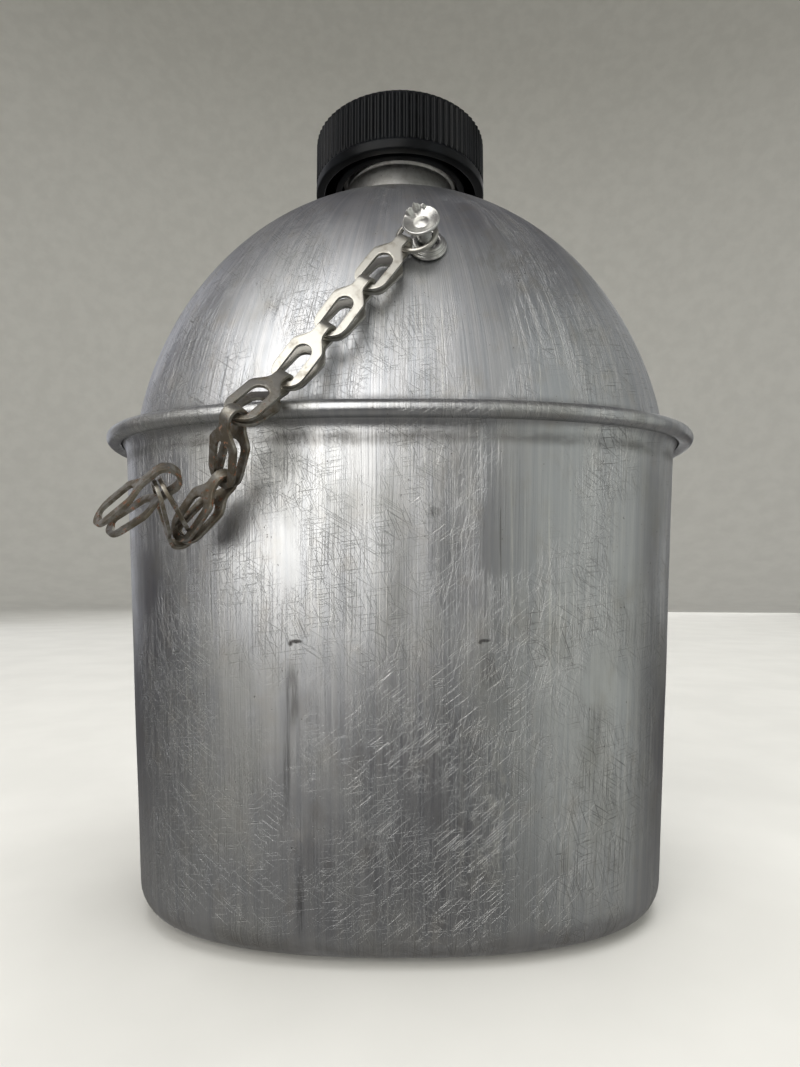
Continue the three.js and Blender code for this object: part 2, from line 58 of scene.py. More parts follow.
# Driving sizes, in millimetres, the same as the solids'.
CUP_HALF_WIDTH, CUP_BASE_HALF_WIDTH, CUP_HEIGHT = 70, 63.25, 112.6
CUP_WALL, CUP_CORNER = 1, 7.5
FRONT_DEPTH, BACK_DEPTH, HOLLOW, HOLLOW_HALF_WIDTH = 45, 31, 9, 48
ROLL_RADIUS, ROLL_OUTBOARD, ROLL_START = 1.9, 2.6, 190  # the start is in degrees
CANTEEN_INSET, CANTEEN_WALL, CANTEEN_FLOOR = 1.9, 1.2, 1.6
SHOULDER_START, SHOULDER_TOP, SHOULDER_TOP_RADIUS = 110, 177.6, 18
SHOULDER_POWER, SHOULDER_MEAN_REACH = 1.77, 38
NECK_RADIUS, NECK_BORE, NECK_TOP, THREAD_CREST = 14.7, 12.4, 197, 15.9
CAP_RADIUS, CAP_BOTTOM, CAP_TOP, THREAD_PITCH = 23.4, 184.6, 201, 4
PITCH, SHEET = 13.9, 0.7
PIN_HEIGHT, PIN_RADIUS, BARREL_RADIUS = 84, 1.5, 3.2
STRAP_WIDTH, STRAP_SHEET, STRAP_END = 16, 1.6, 6
BRACKET_HEIGHT, BRACKET_HALF_WIDTH, BRACKET_SHEET, BRACKET_GAP = 26, 17, 1.6, 0.6
EAR_SHEET, RIVET_X, RIVET_Z, GAP = 1.8, 13.4, 8.5, 0.35
LATCH_REST, LATCH_HEIGHT = 34, 12

# Powers of the outline's superellipse at its sides, front and back.
SIDE_POWER, FRONT_POWER, BACK_POWER = 2.36, 2.7, 3


# ---------- meshes ----------

def mesh_from(name, points, *faces, loop_uv=None):
    """A mesh from a (count, 3) array of points in millimetres and arrays of faces, one array for each corner
    count."""
    mesh = bpy.data.meshes.new(name)
    mesh.vertices.add(len(points))
    mesh.vertices.foreach_set("co", (np.asarray(points, float) * MM).ravel())
    corners = np.concatenate([f.ravel() for f in faces])
    totals = np.concatenate([np.full(len(f), f.shape[1]) for f in faces])
    mesh.loops.add(len(corners))
    mesh.loops.foreach_set("vertex_index", corners.astype(np.int32))
    mesh.polygons.add(len(totals))
    mesh.polygons.foreach_set("loop_start", (np.cumsum(totals) - totals).astype(np.int32))
    mesh.polygons.foreach_set("loop_total", totals.astype(np.int32))
    if loop_uv is not None:
        layer = mesh.uv_layers.new(name="surface_mm")
        layer.data.foreach_set("uv", loop_uv.astype(np.float32).ravel())
    mesh.update(calc_edges=True)
    return mesh


def skin(name, rings, loop=False, uv=None):
    """A closed skin over rings, a (rows, columns, 3) array whose columns run counter-clockwise and whose
    rows go up the outside. It closes on each end ring's middle, or from the last row back to the first when
    loop is true. The uv is a (rows, columns + 1, 2) array; the extra column carries the seam."""
    rows, columns = rings.shape[:2]
    index = np.arange(rows * columns).reshape(rows, columns)
    across = np.roll(index, -1, axis=1)
    up = (np.roll(index, -1, axis=0), np.roll(across, -1, axis=0))
    last = rows if loop else rows - 1
    quads = np.stack([index, across, up[1], up[0]], axis=-1)[:last].reshape(-1, 4)
    points = rings.reshape(-1, 3)
    faces = [quads]
    loop_uv = None
    if uv is not None:
        corners = np.stack([uv[:-1, :-1], uv[:-1, 1:], uv[1:, 1:], uv[1:, :-1]], axis=2)
        loop_uv = corners.reshape(-1, 2)
    if not loop:
        first, final = len(points), len(points) + 1
        points = np.vstack([points, rings[0].mean(axis=0), rings[-1].mean(axis=0)])
        low = np.stack([np.full(columns, first), across[0], index[0]], axis=-1)
        high = np.stack([np.full(columns, final), index[-1], across[-1]], axis=-1)
        faces.append(np.vstack([low, high]))
        if uv is not None:
            fan = [np.stack([row[:-1], row[1:], row[:-1]], axis=1) for row in (uv[0], uv[-1])]
            loop_uv = np.vstack([loop_uv, fan[0].reshape(-1, 2), fan[1].reshape(-1, 2)])
    return mesh_from(name, points, *faces, loop_uv=loop_uv)


def soften(profile, radius, steps=4, loop=False):
    """The profile with each corner cut back by the radius and bridged by a parabola between the two cuts."""
    profile = [np.array(p, float) for p in profile]
    count = len(profile)
    out = []
    for i, corner in enumerate(profile):
        if not loop and i in (0, count - 1):
            out.append(corner)
            continue
        before, after = profile[i - 1], profile[(i + 1) % count]
        reach = min(radius, np.linalg.norm(before - corner) / 2.2, np.linalg.norm(after - corner) / 2.2)
        start = corner + (before - corner) / np.linalg.norm(before - corner) * reach
        end = corner + (after - corner) / np.linalg.norm(after - corner) * reach
        for t in np.linspace(0, 1, steps + 1):
            out.append((1 - t) ** 2 * start + 2 * t * (1 - t) * corner + t * t * end)
    return np.array(out)


def turned(profile, columns=64):
    """Rings of a profile of [radius, height] rows turned about Z."""
    angle = np.linspace(0, 2 * np.pi, columns, endpoint=False)
    radius, height = profile[:, :1], profile[:, 1:2]
    return np.stack([radius * np.cos(angle), radius * np.sin(angle), height + 0 * angle], axis=-1)


def placed(points, origin, along_z, along_x=None):
    """Points moved from a frame given by its origin, Z direction and, if it matters, X direction."""
    z = np.array(along_z, float) / np.linalg.norm(along_z)
    x = np.array(along_x if along_x is not None else ([1, 0, 0] if abs(z[0]) < 0.9 else [0, 1, 0]), float)
    x = x - z * (x @ z)
    x /= np.linalg.norm(x)
    return np.array(origin, float) + points @ np.array([x, np.cross(z, x), z])


def strip(stations, half_width, half_slot, lay, columns=5):
    """A sheet strip's middle surface. At each station along it, two bands run from the slot's half width to
    the strip's half width, one each side, and share the middle line where there is no slot. The function lay
    takes arrays of stations and offsets across, and gives the points."""
    share = np.linspace(0, 1, columns)
    width, slot = half_width(stations)[:, None], half_slot(stations)[:, None]
    across = slot + (width - slot) * share
    along = np.repeat(stations[:, None], columns, axis=1)
    count = len(stations) * columns
    index = np.arange(count).reshape(-1, columns)
    quads = np.stack([index[:-1, :-1], index[1:, :-1], index[1:, 1:], index[:-1, 1:]], axis=-1).reshape(-1, 4)
    points = np.concatenate([lay(along, across), lay(along, -across)]).reshape(-1, 3)
    mirrored = quads[:, ::-1] + count
    twin = np.where(slot[:, 0] == 0)[0]
    same = np.arange(2 * count)
    same[index[twin, 0] + count] = index[twin, 0]
    used, packed = np.unique(same, return_inverse=True)
    return points[used], packed[np.vstack([quads, mirrored])]


def joined(parts):
    """One point array and one quad array from several."""
    starts = np.cumsum([0] + [len(points) for points, _ in parts[:-1]])
    return np.vstack([p for p, _ in parts]), np.vstack([q + s for (_, q), s in zip(parts, starts)])


def piece(mesh, material, body, nodes, sharp=35, sheet=None, bevel=0.15):
    """A finished piece: it rides on a body, stands in for CAD nodes, which it hides, and takes the finish it
    is given. A sheet thickness turns a middle surface into a solid sheet with broken edges."""
    thing = bpy.data.objects.new(mesh.name, mesh)
    bpy.context.scene.collection.objects.link(thing)
    mesh.materials.append(material)
    mesh.shade_smooth()
    mesh.set_sharp_from_angle(angle=math.radians(sharp))
    if sheet:
        solid = thing.modifiers.new("sheet", "SOLIDIFY")
        solid.thickness = sheet * MM
        solid.offset = 0
        solid.use_even_offset = True
        edge = thing.modifiers.new("broken_edge", "BEVEL")
        edge.width = bevel * MM
        edge.segments = 2
        edge.limit_method = "ANGLE"
        edge.angle_limit = math.radians(50)
    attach(thing, body)
    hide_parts(*nodes)
    return thing


# ---------- materials ----------

# Settings that many nodes share: a smooth step, arithmetic, one colour over another, and a pattern's place.
STEP = {"interpolation_type": "SMOOTHSTEP"}
TIMES = {"operation": "MULTIPLY"}
PLUS = {"operation": "ADD", "use_clamp": True}
GAIN = {"operation": "MULTIPLY_ADD", "use_clamp": True}
OVER = {"out": 2, "data_type": "RGBA"}
PLACE = {"vector_type": "TEXTURE"}

# Scratches: turn in degrees, length and width in millimetres, level above which a line shows, and seed.
BRIGHT_LINES = [(90.6, 30, 0.2, 0.7, 1), (74, 13, 0.16, 0.755, 3), (38, 9, 0.16, 0.765, 5)]
DARK_LINES = [(88, 16, 0.18, 0.71, 2), (113, 12, 0.17, 0.755, 4),
              (8, 7, 0.18, 0.77, 6), (-32, 10, 0.17, 0.77, 7)]


def srgb(code):
    """A hex colour as linear red, green, blue and alpha."""
    values = [int(code[i:i + 2], 16) / 255 for i in (1, 3, 5)]
    return tuple(v / 12.92 if v <= 0.04045 else ((v + 0.055) / 1.055) ** 2.4 for v in values) + (1.0,)


def connect(tree, node, sockets):
    """Each socket of a node gets a value, or a link when it is given another node's output."""
    for name, value in sockets.items():
        if isinstance(value, bpy.types.NodeSocket):
            tree.links.new(value, node.inputs[name])
        else:
            node.inputs[name].default_value = value


def add(tree, kind, sockets, out=0, **settings):
    """An output of a new node, which is given its sockets and settings."""
    node = tree.nodes.new("ShaderNode" + kind)
    for name, value in settings.items():
        setattr(node, name, value)
    connect(tree, node, sockets)
    return node.outputs[out]


def cloud(tree, vector, size, detail=2.0, shift=(0, 0, 0), flat=False):
    """Noise whose blobs are about size millimetres; size may differ along the three directions. The vector
    is in metres unless it is the flat surface map, which is in millimetres."""
    unit = 1 if flat else MM
    sockets = {"Vector": vector, "Location": shift, "Scale": [s * unit for s in size]}
    moved = add(tree, "Mapping", sockets, **PLACE)
    sockets = {"Vector": moved, "Scale": 1.0, "Detail": detail, "Roughness": 0.55}
    return add(tree, "TexNoise", sockets, noise_dimensions="2D" if flat else "3D")


def scratches(tree, surface, rows, gathered):
    """Straight fine lines on the flat surface map, where the gathered pattern lets them show: for each row,
    noise drawn out along a direction, of which only the peaks stay."""
    lines = 0.0
    for turn, length, width, keep, seed in rows:
        sockets = {"Vector": surface, "Location": (seed * 17.3, seed * 9.1, 0),
                   "Rotation": (0, 0, math.radians(turn)), "Scale": (length, width, 1)}
        sockets = {"Vector": add(tree, "Mapping", sockets, **PLACE), "Scale": 1.0, "Detail": 0.0}
        noise = add(tree, "TexNoise", sockets, noise_dimensions="2D")
        peaks = add(tree, "MapRange", {0: noise, 1: keep, 2: keep + 0.07}, **STEP)
        lines = add(tree, "Math", {0: lines, 1: peaks}, **PLUS)
    return add(tree, "Math", {0: lines, 1: gathered}, **TIMES)


def spot(tree, place, centre, reach, edge):
    """A soft oval patch: 1 inside its edge, a share of its reach, and 0 past its reach. The centre and the
    reach are in millimetres on Object coordinates."""
    sockets = {"Vector": place, "Location": [c * MM for c in centre], "Scale": [r * MM for r in reach]}
    far = add(tree, "VectorMath", {0: add(tree, "Mapping", sockets, **PLACE)}, "Value", operation="LENGTH")
    return add(tree, "MapRange", {0: far, 1: 1.0, 2: edge}, **STEP)


def coats(tree, colour, *rows):
    """The colour with others laid over it in turn. Each row gives a pattern, the two levels between which
    the coat grows to its most, that most, and the coat's colour."""
    for pattern, low, high, most, code in rows:
        share = add(tree, "MapRange", {0: pattern, 1: low, 2: high, 4: most}, **STEP)
        colour = add(tree, "Mix", {0: share, 6: colour, 7: srgb(code)}, **OVER)
    return colour


def begin(name):
    """A new material with its tree, its surface shader and its Object coordinates."""
    material = bpy.data.materials.new(name)
    material.use_nodes = True
    tree = material.node_tree
    return material, tree, tree.nodes["Principled BSDF"], add(tree, "TexCoord", {}, "Object")


def worn_aluminium(name, tints, roughness, dark_and_shade_bands, marks=(), stains=(), dark_spots=()):
    """Drawn aluminium sheet, brushed up and down and then worn by handling: a broad soft gloss drawn out
    sideways by the brushing, fine lines in many directions, dull oxide clouds, and darker bands at given
    heights, which are painted shade where one lies under a rim or where one part goes down into another."""
    material, tree, shader, place = begin(name)
    surface = add(tree, "UVMap", {}, uv_map="surface_mm")
    height = add(tree, "SeparateXYZ", {0: place}, "Z")

    # The brushing's lines are some 0.1 mm wide; they are drawn at 0.35 to 1.6 mm so that they show.
    fine = cloud(tree, surface, (0.35, 26, 1), 3.0, flat=True)
    broad = cloud(tree, surface, (1.6, 60, 1), 3.0, (40, 10, 0), flat=True)
    oxide = cloud(tree, place, (16, 16, 26), 4.0, (0.3, 0, 0))
    mottle = cloud(tree, place, (5, 5, 7), 5.0, (0, 0.2, 0))
    colour = coats(tree, srgb(tints[0]), (broad, 0.34, 0.66, 1.0, tints[1]),
                   (oxide, 0.46, 0.7, 0.55, tints[2]), (mottle, 0.5, 0.78, 0.45, tints[3]))

    # Scratches from handling, most of them up and down, and corrosion pits of about 0.5 mm.
    busy = cloud(tree, place, (22, 22, 30), 2.0, (0.1, 0.5, 0))
    busy = add(tree, "MapRange", {0: busy, 1: 0.36, 2: 0.6}, **STEP)
    bright, dark = scratches(tree, surface, BRIGHT_LINES, busy), scratches(tree, surface, DARK_LINES, busy)
    pits = cloud(tree, place, (0.55, 0.55, 0.7), 1.0, (0.7, 0.3, 0.1))
    pits = add(tree, "Math", {0: add(tree, "MapRange", {0: pits, 1: 0.735, 2: 0.78}, **STEP),
                              1: add(tree, "MapRange", {0: mottle, 1: 0.45, 2: 0.6}, **STEP)}, **TIMES)
    for pattern, most, code in ((bright, 0.4, "#F4F4F0"), (dark, 0.42, "#5A5854"), (pits, 0.7, "#3A3633")):
        share = add(tree, "Math", {0: pattern, 1: most}, **TIMES)
        colour = add(tree, "Mix", {0: share, 6: colour, 7: srgb(code)}, **OVER)

    # Stains in ragged patches, rub marks drawn out along the brushing, and small solid dark spots.
    ragged = cloud(tree, place, (2.6, 2.6, 4), 4.0, (0.05, 0, 0))
    ragged = add(tree, "MapRange", {0: ragged, 1: 0.46, 2: 0.6}, **STEP)
    streaks = cloud(tree, surface, (0.5, 9, 1), 2.0, (7, 3, 0), flat=True)
    streaks = add(tree, "MapRange", {0: streaks, 1: 0.36, 2: 0.56, 3: 0.25}, **STEP)
    for patches, texture, edge in ((stains, ragged, 0.1), (marks, streaks, 0.35), (dark_spots, 1.0, 0.35)):
        for centre, reach, depth, code in patches:
            share = add(tree, "Math", {0: spot(tree, place, centre, reach, edge), 1: texture}, **TIMES)
            share = add(tree, "Math", {0: share, 1: depth}, **TIMES)
            colour = add(tree, "Mix", {0: share, 6: colour, 7: srgb(code)}, **OVER)

    # Darker bands at given heights, broken up by a mottle: painted shade where a band lies under a rim or
    # where one part goes down into another, and elsewhere only darker colour.
    band_mottle = cloud(tree, place, (6, 6, 2.4), 4.0, (0.2, 0, 0.4))
    band_mottle = add(tree, "MapRange", {0: band_mottle, 1: 0.3, 2: 0.62, 3: 0.35}, **STEP)
    dark_and_shade = 0.0
    for middle, reach, depth, code in dark_and_shade_bands:
        away = add(tree, "Math", {0: height, 1: middle * MM}, operation="SUBTRACT")
        away = add(tree, "Math", {0: away}, operation="ABSOLUTE")
        band = add(tree, "MapRange", {0: away, 1: reach * MM, 2: 0.0, 4: depth}, **STEP)
        band = add(tree, "Math", {0: band, 1: band_mottle}, **TIMES)
        colour = add(tree, "Mix", {0: band, 6: colour, 7: srgb(code)}, **OVER)
        dark_and_shade = add(tree, "Math", {0: dark_and_shade, 1: band}, **PLUS)

    rough = add(tree, "MapRange", {0: oxide, 1: 0.4, 2: 0.72, 3: roughness, 4: roughness + 0.12}, **STEP)
    for pattern, share in ((fine, 0.16), (dark, 0.15), (dark_and_shade, 0.25)):
        rough = add(tree, "Math", {0: pattern, 1: share, 2: rough}, **GAIN)
    grooves = add(tree, "Bump", {"Height": fine, "Distance": 0.00005, "Strength": 0.55})
    cuts = add(tree, "Math", {0: bright, 1: dark}, **PLUS)
    cuts = add(tree, "Math", {0: pits, 1: 0.8, 2: cuts}, **GAIN)
    sockets = {"Height": cuts, "Distance": 0.00006, "Strength": 0.6, "Normal": grooves}
    cuts = add(tree, "Bump", sockets, invert=True)
    connect(tree, shader, {"Base Color": colour, "Roughness": rough, "Metallic": 1.0, "Normal": cuts})
    return material


def turned_metal(name, tints, roughness, lines):
    """Turned or pressed metal that has kept its shine: fine rings left by the tool, small dings and grey
    smears."""
    material, tree, shader, place = begin(name)
    rings = cloud(tree, place, lines, 2.0)
    smear = cloud(tree, place, (2.2, 2.2, 2.2), 4.0, (0.1, 0.2, 0.3))
    dings = cloud(tree, place, (0.5, 0.5, 0.5), 1.0, (0.5, 0, 0))
    dings = add(tree, "MapRange", {0: dings, 1: 0.68, 2: 0.76}, **STEP)
    colour = coats(tree, srgb(tints[0]), (smear, 0.38, 0.68, 1.0, tints[1]))
    share = add(tree, "Math", {0: dings, 1: 0.6}, **TIMES)
    colour = add(tree, "Mix", {0: share, 6: colour, 7: srgb(tints[2])}, **OVER)
    rough = add(tree, "Math", {0: rings, 1: 0.2, 2: roughness}, **GAIN)
    rough = add(tree, "Math", {0: smear, 1: 0.12, 2: rough}, **GAIN)
    height = add(tree, "Math", {0: dings, 1: 1.4}, **TIMES)
    height = add(tree, "Math", {0: rings, 1: height}, operation="SUBTRACT")
    bump = add(tree, "Bump", {"Height": height, "Distance": 0.00007, "Strength": 0.5})
    connect(tree, shader, {"Base Color": colour, "Roughness": rough, "Metallic": 1.0, "Normal": bump})
    return material


def moulded_phenolic(name):
    """Black phenolic plastic, pressed in a polished mould: deep black with pale specks, and a satin gloss
    that a film of dust has weakened."""
    material, tree, shader, place = begin(name)
    grain = cloud(tree, place, (0.6, 0.6, 0.6), 3.0)
    handled = cloud(tree, place, (7, 7, 9), 4.0, (0.4, 0, 0))
    specks = cloud(tree, place, (0.3, 0.3, 0.5), 2.0, (0.9, 0.1, 0))
    colour = coats(tree, srgb("#08090B"), (handled, 0.35, 0.7, 1.0, "#101215"),
                   (specks, 0.66, 0.76, 0.3, "#3A3C40"))
    rough = add(tree, "MapRange", {0: handled, 1: 0.4, 2: 0.7, 3: 0.26, 4: 0.38}, **STEP)
    rough = add(tree, "Math", {0: grain, 1: 0.14, 2: rough}, **GAIN)
    bump = add(tree, "Bump", {"Height": grain, "Distance": 0.00004, "Strength": 0.35})
    sockets = {"Base Color": colour, "Roughness": rough, "Specular IOR Level": 0.14, "Normal": bump}
    connect(tree, shader, sockets)
    return material


def cork_rubber(name):
    """Cork bound with rubber: matt brown grains of about 1 mm, darker where the neck has pressed them."""
    material, tree, shader, place = begin(name)
    cells = add(tree, "TexVoronoi", {"Vector": place, "Scale": 1 / (1.1 * MM)}, "Distance")
    pressed = cloud(tree, place, (3, 3, 3), 3.0)
    colour = coats(tree, srgb("#6B5138"), (cells, 0.1, 0.7, 1.0, "#3B2C20"),
                   (pressed, 0.4, 0.7, 0.6, "#241B15"))
    bump = add(tree, "Bump", {"Height": cells, "Distance": 0.0001, "Strength": 0.6}, invert=True)
    connect(tree, shader, {"Base Color": colour, "Roughness": 0.86, "Normal": bump})
    return material


def plated_steel(name):
    """Nickel-plated sheet steel, stamped and folded: satin grey where it rubs, and brown and rusty lower
    down where the plating has gone."""
    material, tree, shader, place = begin(name)
    height = add(tree, "SeparateXYZ", {0: place}, "Z")
    grain = cloud(tree, place, (0.25, 0.25, 0.25), 2.0)
    stain = cloud(tree, place, (2.4, 2.4, 2.4), 5.0, (0.2, 0.6, 0))
    tarnish = add(tree, "MapRange", {0: height, 1: 0.124, 2: 0.1, 4: 0.24}, **STEP)
    tarnish = add(tree, "Math", {0: tarnish, 1: stain}, operation="ADD")
    tarnish = add(tree, "MapRange", {0: tarnish, 1: 0.5, 2: 0.86}, **STEP)
    rust = cloud(tree, place, (1.1, 1.1, 1.1), 4.0, (0.9, 0, 0.1))
    rust = add(tree, "Math", {0: add(tree, "MapRange", {0: rust, 1: 0.58, 2: 0.68}, **STEP),
                              1: add(tree, "MapRange", {0: height, 1: 0.12, 2: 0.102}, **STEP)}, **TIMES)
    colour = add(tree, "Mix", {0: tarnish, 6: srgb("#C6C4BD"), 7: srgb("#8A8172")}, **OVER)
    share = add(tree, "Math", {0: rust, 1: 0.8}, **TIMES)
    colour = add(tree, "Mix", {0: share, 6: colour, 7: srgb("#7A4526")}, **OVER)
    rough = 0.33
    for pattern, share in ((tarnish, 0.22), (rust, 0.3), (grain, 0.1)):
        rough = add(tree, "Math", {0: pattern, 1: share, 2: rough}, **GAIN)
    metal = add(tree, "MapRange", {0: rust, 1: 0.2, 2: 1.0, 3: 1.0, 4: 0.25}, **STEP)
    bump = add(tree, "Math", {0: grain, 1: 0.4}, **TIMES)
    bump = add(tree, "Math", {0: stain, 1: 0.6, 2: bump}, **GAIN)
    bump = add(tree, "Bump", {"Height": bump, "Distance": 0.00003, "Strength": 0.3})
    connect(tree, shader, {"Base Color": colour, "Roughness": rough, "Metallic": metal, "Normal": bump})
    return material


def rolled_steel(name, tints, roughness):
    """Stainless steel strip from the rolling mill, dulled by use: a grey grain along the strip, brighter rub
    marks and dirt in the corners."""
    material, tree, shader, place = begin(name)
    grain = cloud(tree, place, (0.3, 2, 18), 3.0)
    dirt = cloud(tree, place, (5, 5, 9), 4.0, (0.2, 0.1, 0))
    rub = cloud(tree, place, (0.3, 0.3, 7), 1.0, (0.5, 0.5, 0))
    colour = coats(tree, srgb(tints[0]), (grain, 0.35, 0.65, 1.0, tints[1]),
                   (dirt, 0.46, 0.74, 0.7, tints[2]), (rub, 0.64, 0.7, 0.5, "#E4E3DF"))
    rough = add(tree, "Math", {0: grain, 1: 0.18, 2: roughness}, **GAIN)
    rough = add(tree, "Math", {0: dirt, 1: 0.2, 2: rough}, **GAIN)
    bump = add(tree, "Bump", {"Height": grain, "Distance": 0.00006, "Strength": 0.5})
    connect(tree, shader, {"Base Color": colour, "Roughness": rough, "Metallic": 1.0, "Normal": bump})
    return material


# ---------- the kidney section ----------

def kidney_point(angle, s):
    """The outline's point at an angle: a superellipse whose back half is pushed in by a smooth hollow, a
    squared parabola across the hollow's width."""
    c, n = np.cos(angle), np.sin(angle)
    x = s["half_width"] * np.sign(c) * np.abs(c) ** (2 / s["side"])
    front = -s["front"] * np.abs(n) ** (2 / s["front_power"])
    reach = np.minimum(1, np.abs(x) / s["hollow_half"])
    back = s["back"] * np.abs(n) ** (2 / s["back_power"]) - s["hollow"] * (1 - reach**2) ** 2
    return x, np.where(n < 0, front, back)


def even_angles(count):
    """Angles that space the outline's points evenly along it, and the distance along it in millimetres."""
    dense = np.linspace(0, 2 * np.pi, 20001)
    x, y = kidney_point(dense, cup_section(np.array(60.0)))
    along = np.concatenate([[0], np.cumsum(np.hypot(np.diff(x), np.diff(y)))])
    marks = np.linspace(0, along[-1], count, endpoint=False) + along[-1] / count / 2
    return np.interp(marks, along, dense), np.append(marks, marks[0] + along[-1])


def cup_section(height):
    """The cup's section at a height: everything grows with the taper."""
    half_width = CUP_BASE_HALF_WIDTH + (CUP_HALF_WIDTH - CUP_BASE_HALF_WIDTH) * height / CUP_HEIGHT
    grow = half_width / CUP_HALF_WIDTH
    return {
        "half_width": half_width, "front": FRONT_DEPTH * grow, "back": BACK_DEPTH * grow,
        "hollow": HOLLOW * grow, "hollow_half": HOLLOW_HALF_WIDTH * grow,
        "side": SIDE_POWER + 0 * grow, "front_power": FRONT_POWER + 0 * grow,
        "back_power": BACK_POWER + 0 * grow,
    }


def shoulder_section(share):
    """The canteen's section on its shoulder, from share 1 at the foot to share 0 at the neck, where it is
    round."""
    foot = cup_section(np.array(float(SHOULDER_START)))

    def between(full, rounded):
        return rounded + (full - rounded) * share

    top = SHOULDER_TOP_RADIUS
    return {
        "half_width": between(foot["half_width"] - CANTEEN_INSET, top),
        "front": between(foot["front"] - CANTEEN_INSET, top),
        "back": between(foot["back"] - CANTEEN_INSET, top),
        "hollow": foot["hollow"] * share, "hollow_half": between(foot["hollow_half"], top),
        "side": between(SIDE_POWER, 2), "front_power": between(FRONT_POWER, 2),
        "back_power": between(BACK_POWER, 2),
    }


ANGLES, ALONG = even_angles(360)


def kidney_rings(section, inset, height, scale=1.0):
    """Rings of the outline, one for each row of the section's values, moved inwards along their own
    normal."""
    column = {key: np.reshape(value, (-1, 1)) for key, value in section.items()}
    x, y = kidney_point(ANGLES, column)
    x1, y1 = kidney_point(ANGLES - 0.006, column)
    x2, y2 = kidney_point(ANGLES + 0.006, column)
    length = np.hypot(x2 - x1, y2 - y1)
    inset = np.asarray(inset, float)
    inset = inset if inset.ndim == 2 else inset.reshape(-1, 1)
    scale = np.reshape(scale, (-1, 1))
    px = (x - inset * (y2 - y1) / length) * scale
    py = (y + inset * (x2 - x1) / length) * scale
    return np.stack([px, py + MIDDLE_Y, np.reshape(height, (-1, 1)) + 0 * px], axis=-1)


def dented(section, height, inset, dents, waves):
    """The inset with soft dents added, bell-shaped hollows at a place across and up on the front or back,
    and the slight waves that hand wear leaves in thin sheet."""
    column = {key: np.reshape(value, (-1, 1)) for key, value in section.items()}
    x, y = kidney_point(ANGLES, column)
    z = np.reshape(height, (-1, 1))
    field = np.reshape(inset, (-1, 1)) + 0 * x
    for side, across, up, half_across, half_up, depth in dents:
        bell = np.exp(-(((x - across) / half_across) ** 2) - ((z - up) / half_up) ** 2)
        field = field + depth * bell * (y * side > 0)
    low, high, size = waves
    fade = np.clip((z - low) / 12, 0, 1) * np.clip((high - z) / 12, 0, 1)
    ripple = np.sin(x * 0.16 + 1.7 * np.sin(z * 0.045)) + 0.8 * np.sin(z * 0.11 + y * 0.13 + 1.1)
    ripple = ripple + 0.5 * np.sin(x * 0.37 + z * 0.21 + 0.4)
    return field + size * fade * ripple


def vessel_rows(inset, floor, corner, top, wall_rows):
    """Rows of a vessel's lower part, from the middle of its bottom up: height, inset and scale."""
    flat = np.linspace(0.04, 1, 9)[:-1]
    turn = np.linspace(np.pi / 2, 0, 11)
    wall = np.linspace(floor + corner, top, wall_rows + 1)[1:]
    height = np.concatenate([np.full(len(flat), float(floor)), floor + corner * (1 - np.sin(turn)), wall])
    insets = np.concatenate([np.full(len(flat), inset + corner), inset + corner * (1 - np.cos(turn)),
                             np.full(wall_rows, inset)])
    scale = np.concatenate([flat, np.ones(len(turn) + wall_rows)])
    return height, insets, scale


def surface_map(rings):
    """Distances in millimetres along the outline and up the profile, for patterns that follow the surface."""
    step = np.linalg.norm(np.diff(rings, axis=0), axis=-1).mean(axis=1)
    up = np.concatenate([[0], np.cumsum(step)])
    across, up = np.meshgrid(ALONG, up)
    return np.stack([across, up], axis=-1)


# Dents: front (-1) or back (1), place across and up, half width across and up, and depth.
CUP_DENTS = [
    (-1, -9, 78, 4.5, 15, 0.32), (-1, 2, 74, 4.0, 17, 0.3), (-1, 12, 79, 4.2, 14, 0.3),
    (-1, 20, 62, 6, 10, -0.16), (-1, -30, 40, 14, 18, 0.22), (-1, 26, 34, 12, 16, 0.2),
    (1, 30, 60, 12, 20, 0.2), (1, -36, 42, 10, 14, 0.25),
]
CANTEEN_DENTS = [(-1, -26, 138, 12, 10, 0.3), (-1, 24, 140, 12, 12, 0.25), (1, 16, 138, 14, 12, 0.25)]


def cup_surface():
    """Outside, rolled rim and inside of the cup as one skin."""
    flare = CUP_HEIGHT - 4

    def wall_face(inset, floor, corner, rows):
        height, insets, scale = vessel_rows(inset, floor, corner, flare, rows)
        section = cup_section(height)
        insets = dented(section, height, insets, CUP_DENTS, (8, 106, 0.035))
        return kidney_rings(section, insets, height, scale)

    def roll_face(radius, steps):
        turn = np.radians(np.linspace(ROLL_START, -140, steps))
        height = CUP_HEIGHT + radius * np.sin(turn)
        section = cup_section(np.full(steps, CUP_HEIGHT))
        return kidney_rings(section, -(ROLL_OUTBOARD + radius * np.cos(turn)), height)

    def flare_rows(outboard, height, inset):
        share = np.array([0.2, 0.4, 0.6, 0.8])
        rows = flare + (height - flare) * share
        return kidney_rings(cup_section(rows), inset + (-outboard - inset) * share**2.2, rows)

    outside = wall_face(0, 0, CUP_CORNER, 90)
    inside = wall_face(CUP_WALL, CUP_WALL, CUP_CORNER - CUP_WALL, 40)
    under, over = roll_face(ROLL_RADIUS - CUP_WALL, 20), roll_face(ROLL_RADIUS, 28)[::-1]
    radii = np.array([ROLL_RADIUS - CUP_WALL, ROLL_RADIUS])
    start = CUP_HEIGHT + np.sin(np.radians(ROLL_START)) * radii
    outboard = ROLL_OUTBOARD + np.cos(np.radians(ROLL_START)) * radii
    first, second = flare_rows(outboard[0], start[0], 0), flare_rows(outboard[1], start[1], CUP_WALL)[::-1]
    rings = np.concatenate([outside, first, under, over, second, inside[::-1]])
    return skin("cup", rings, uv=surface_map(rings))


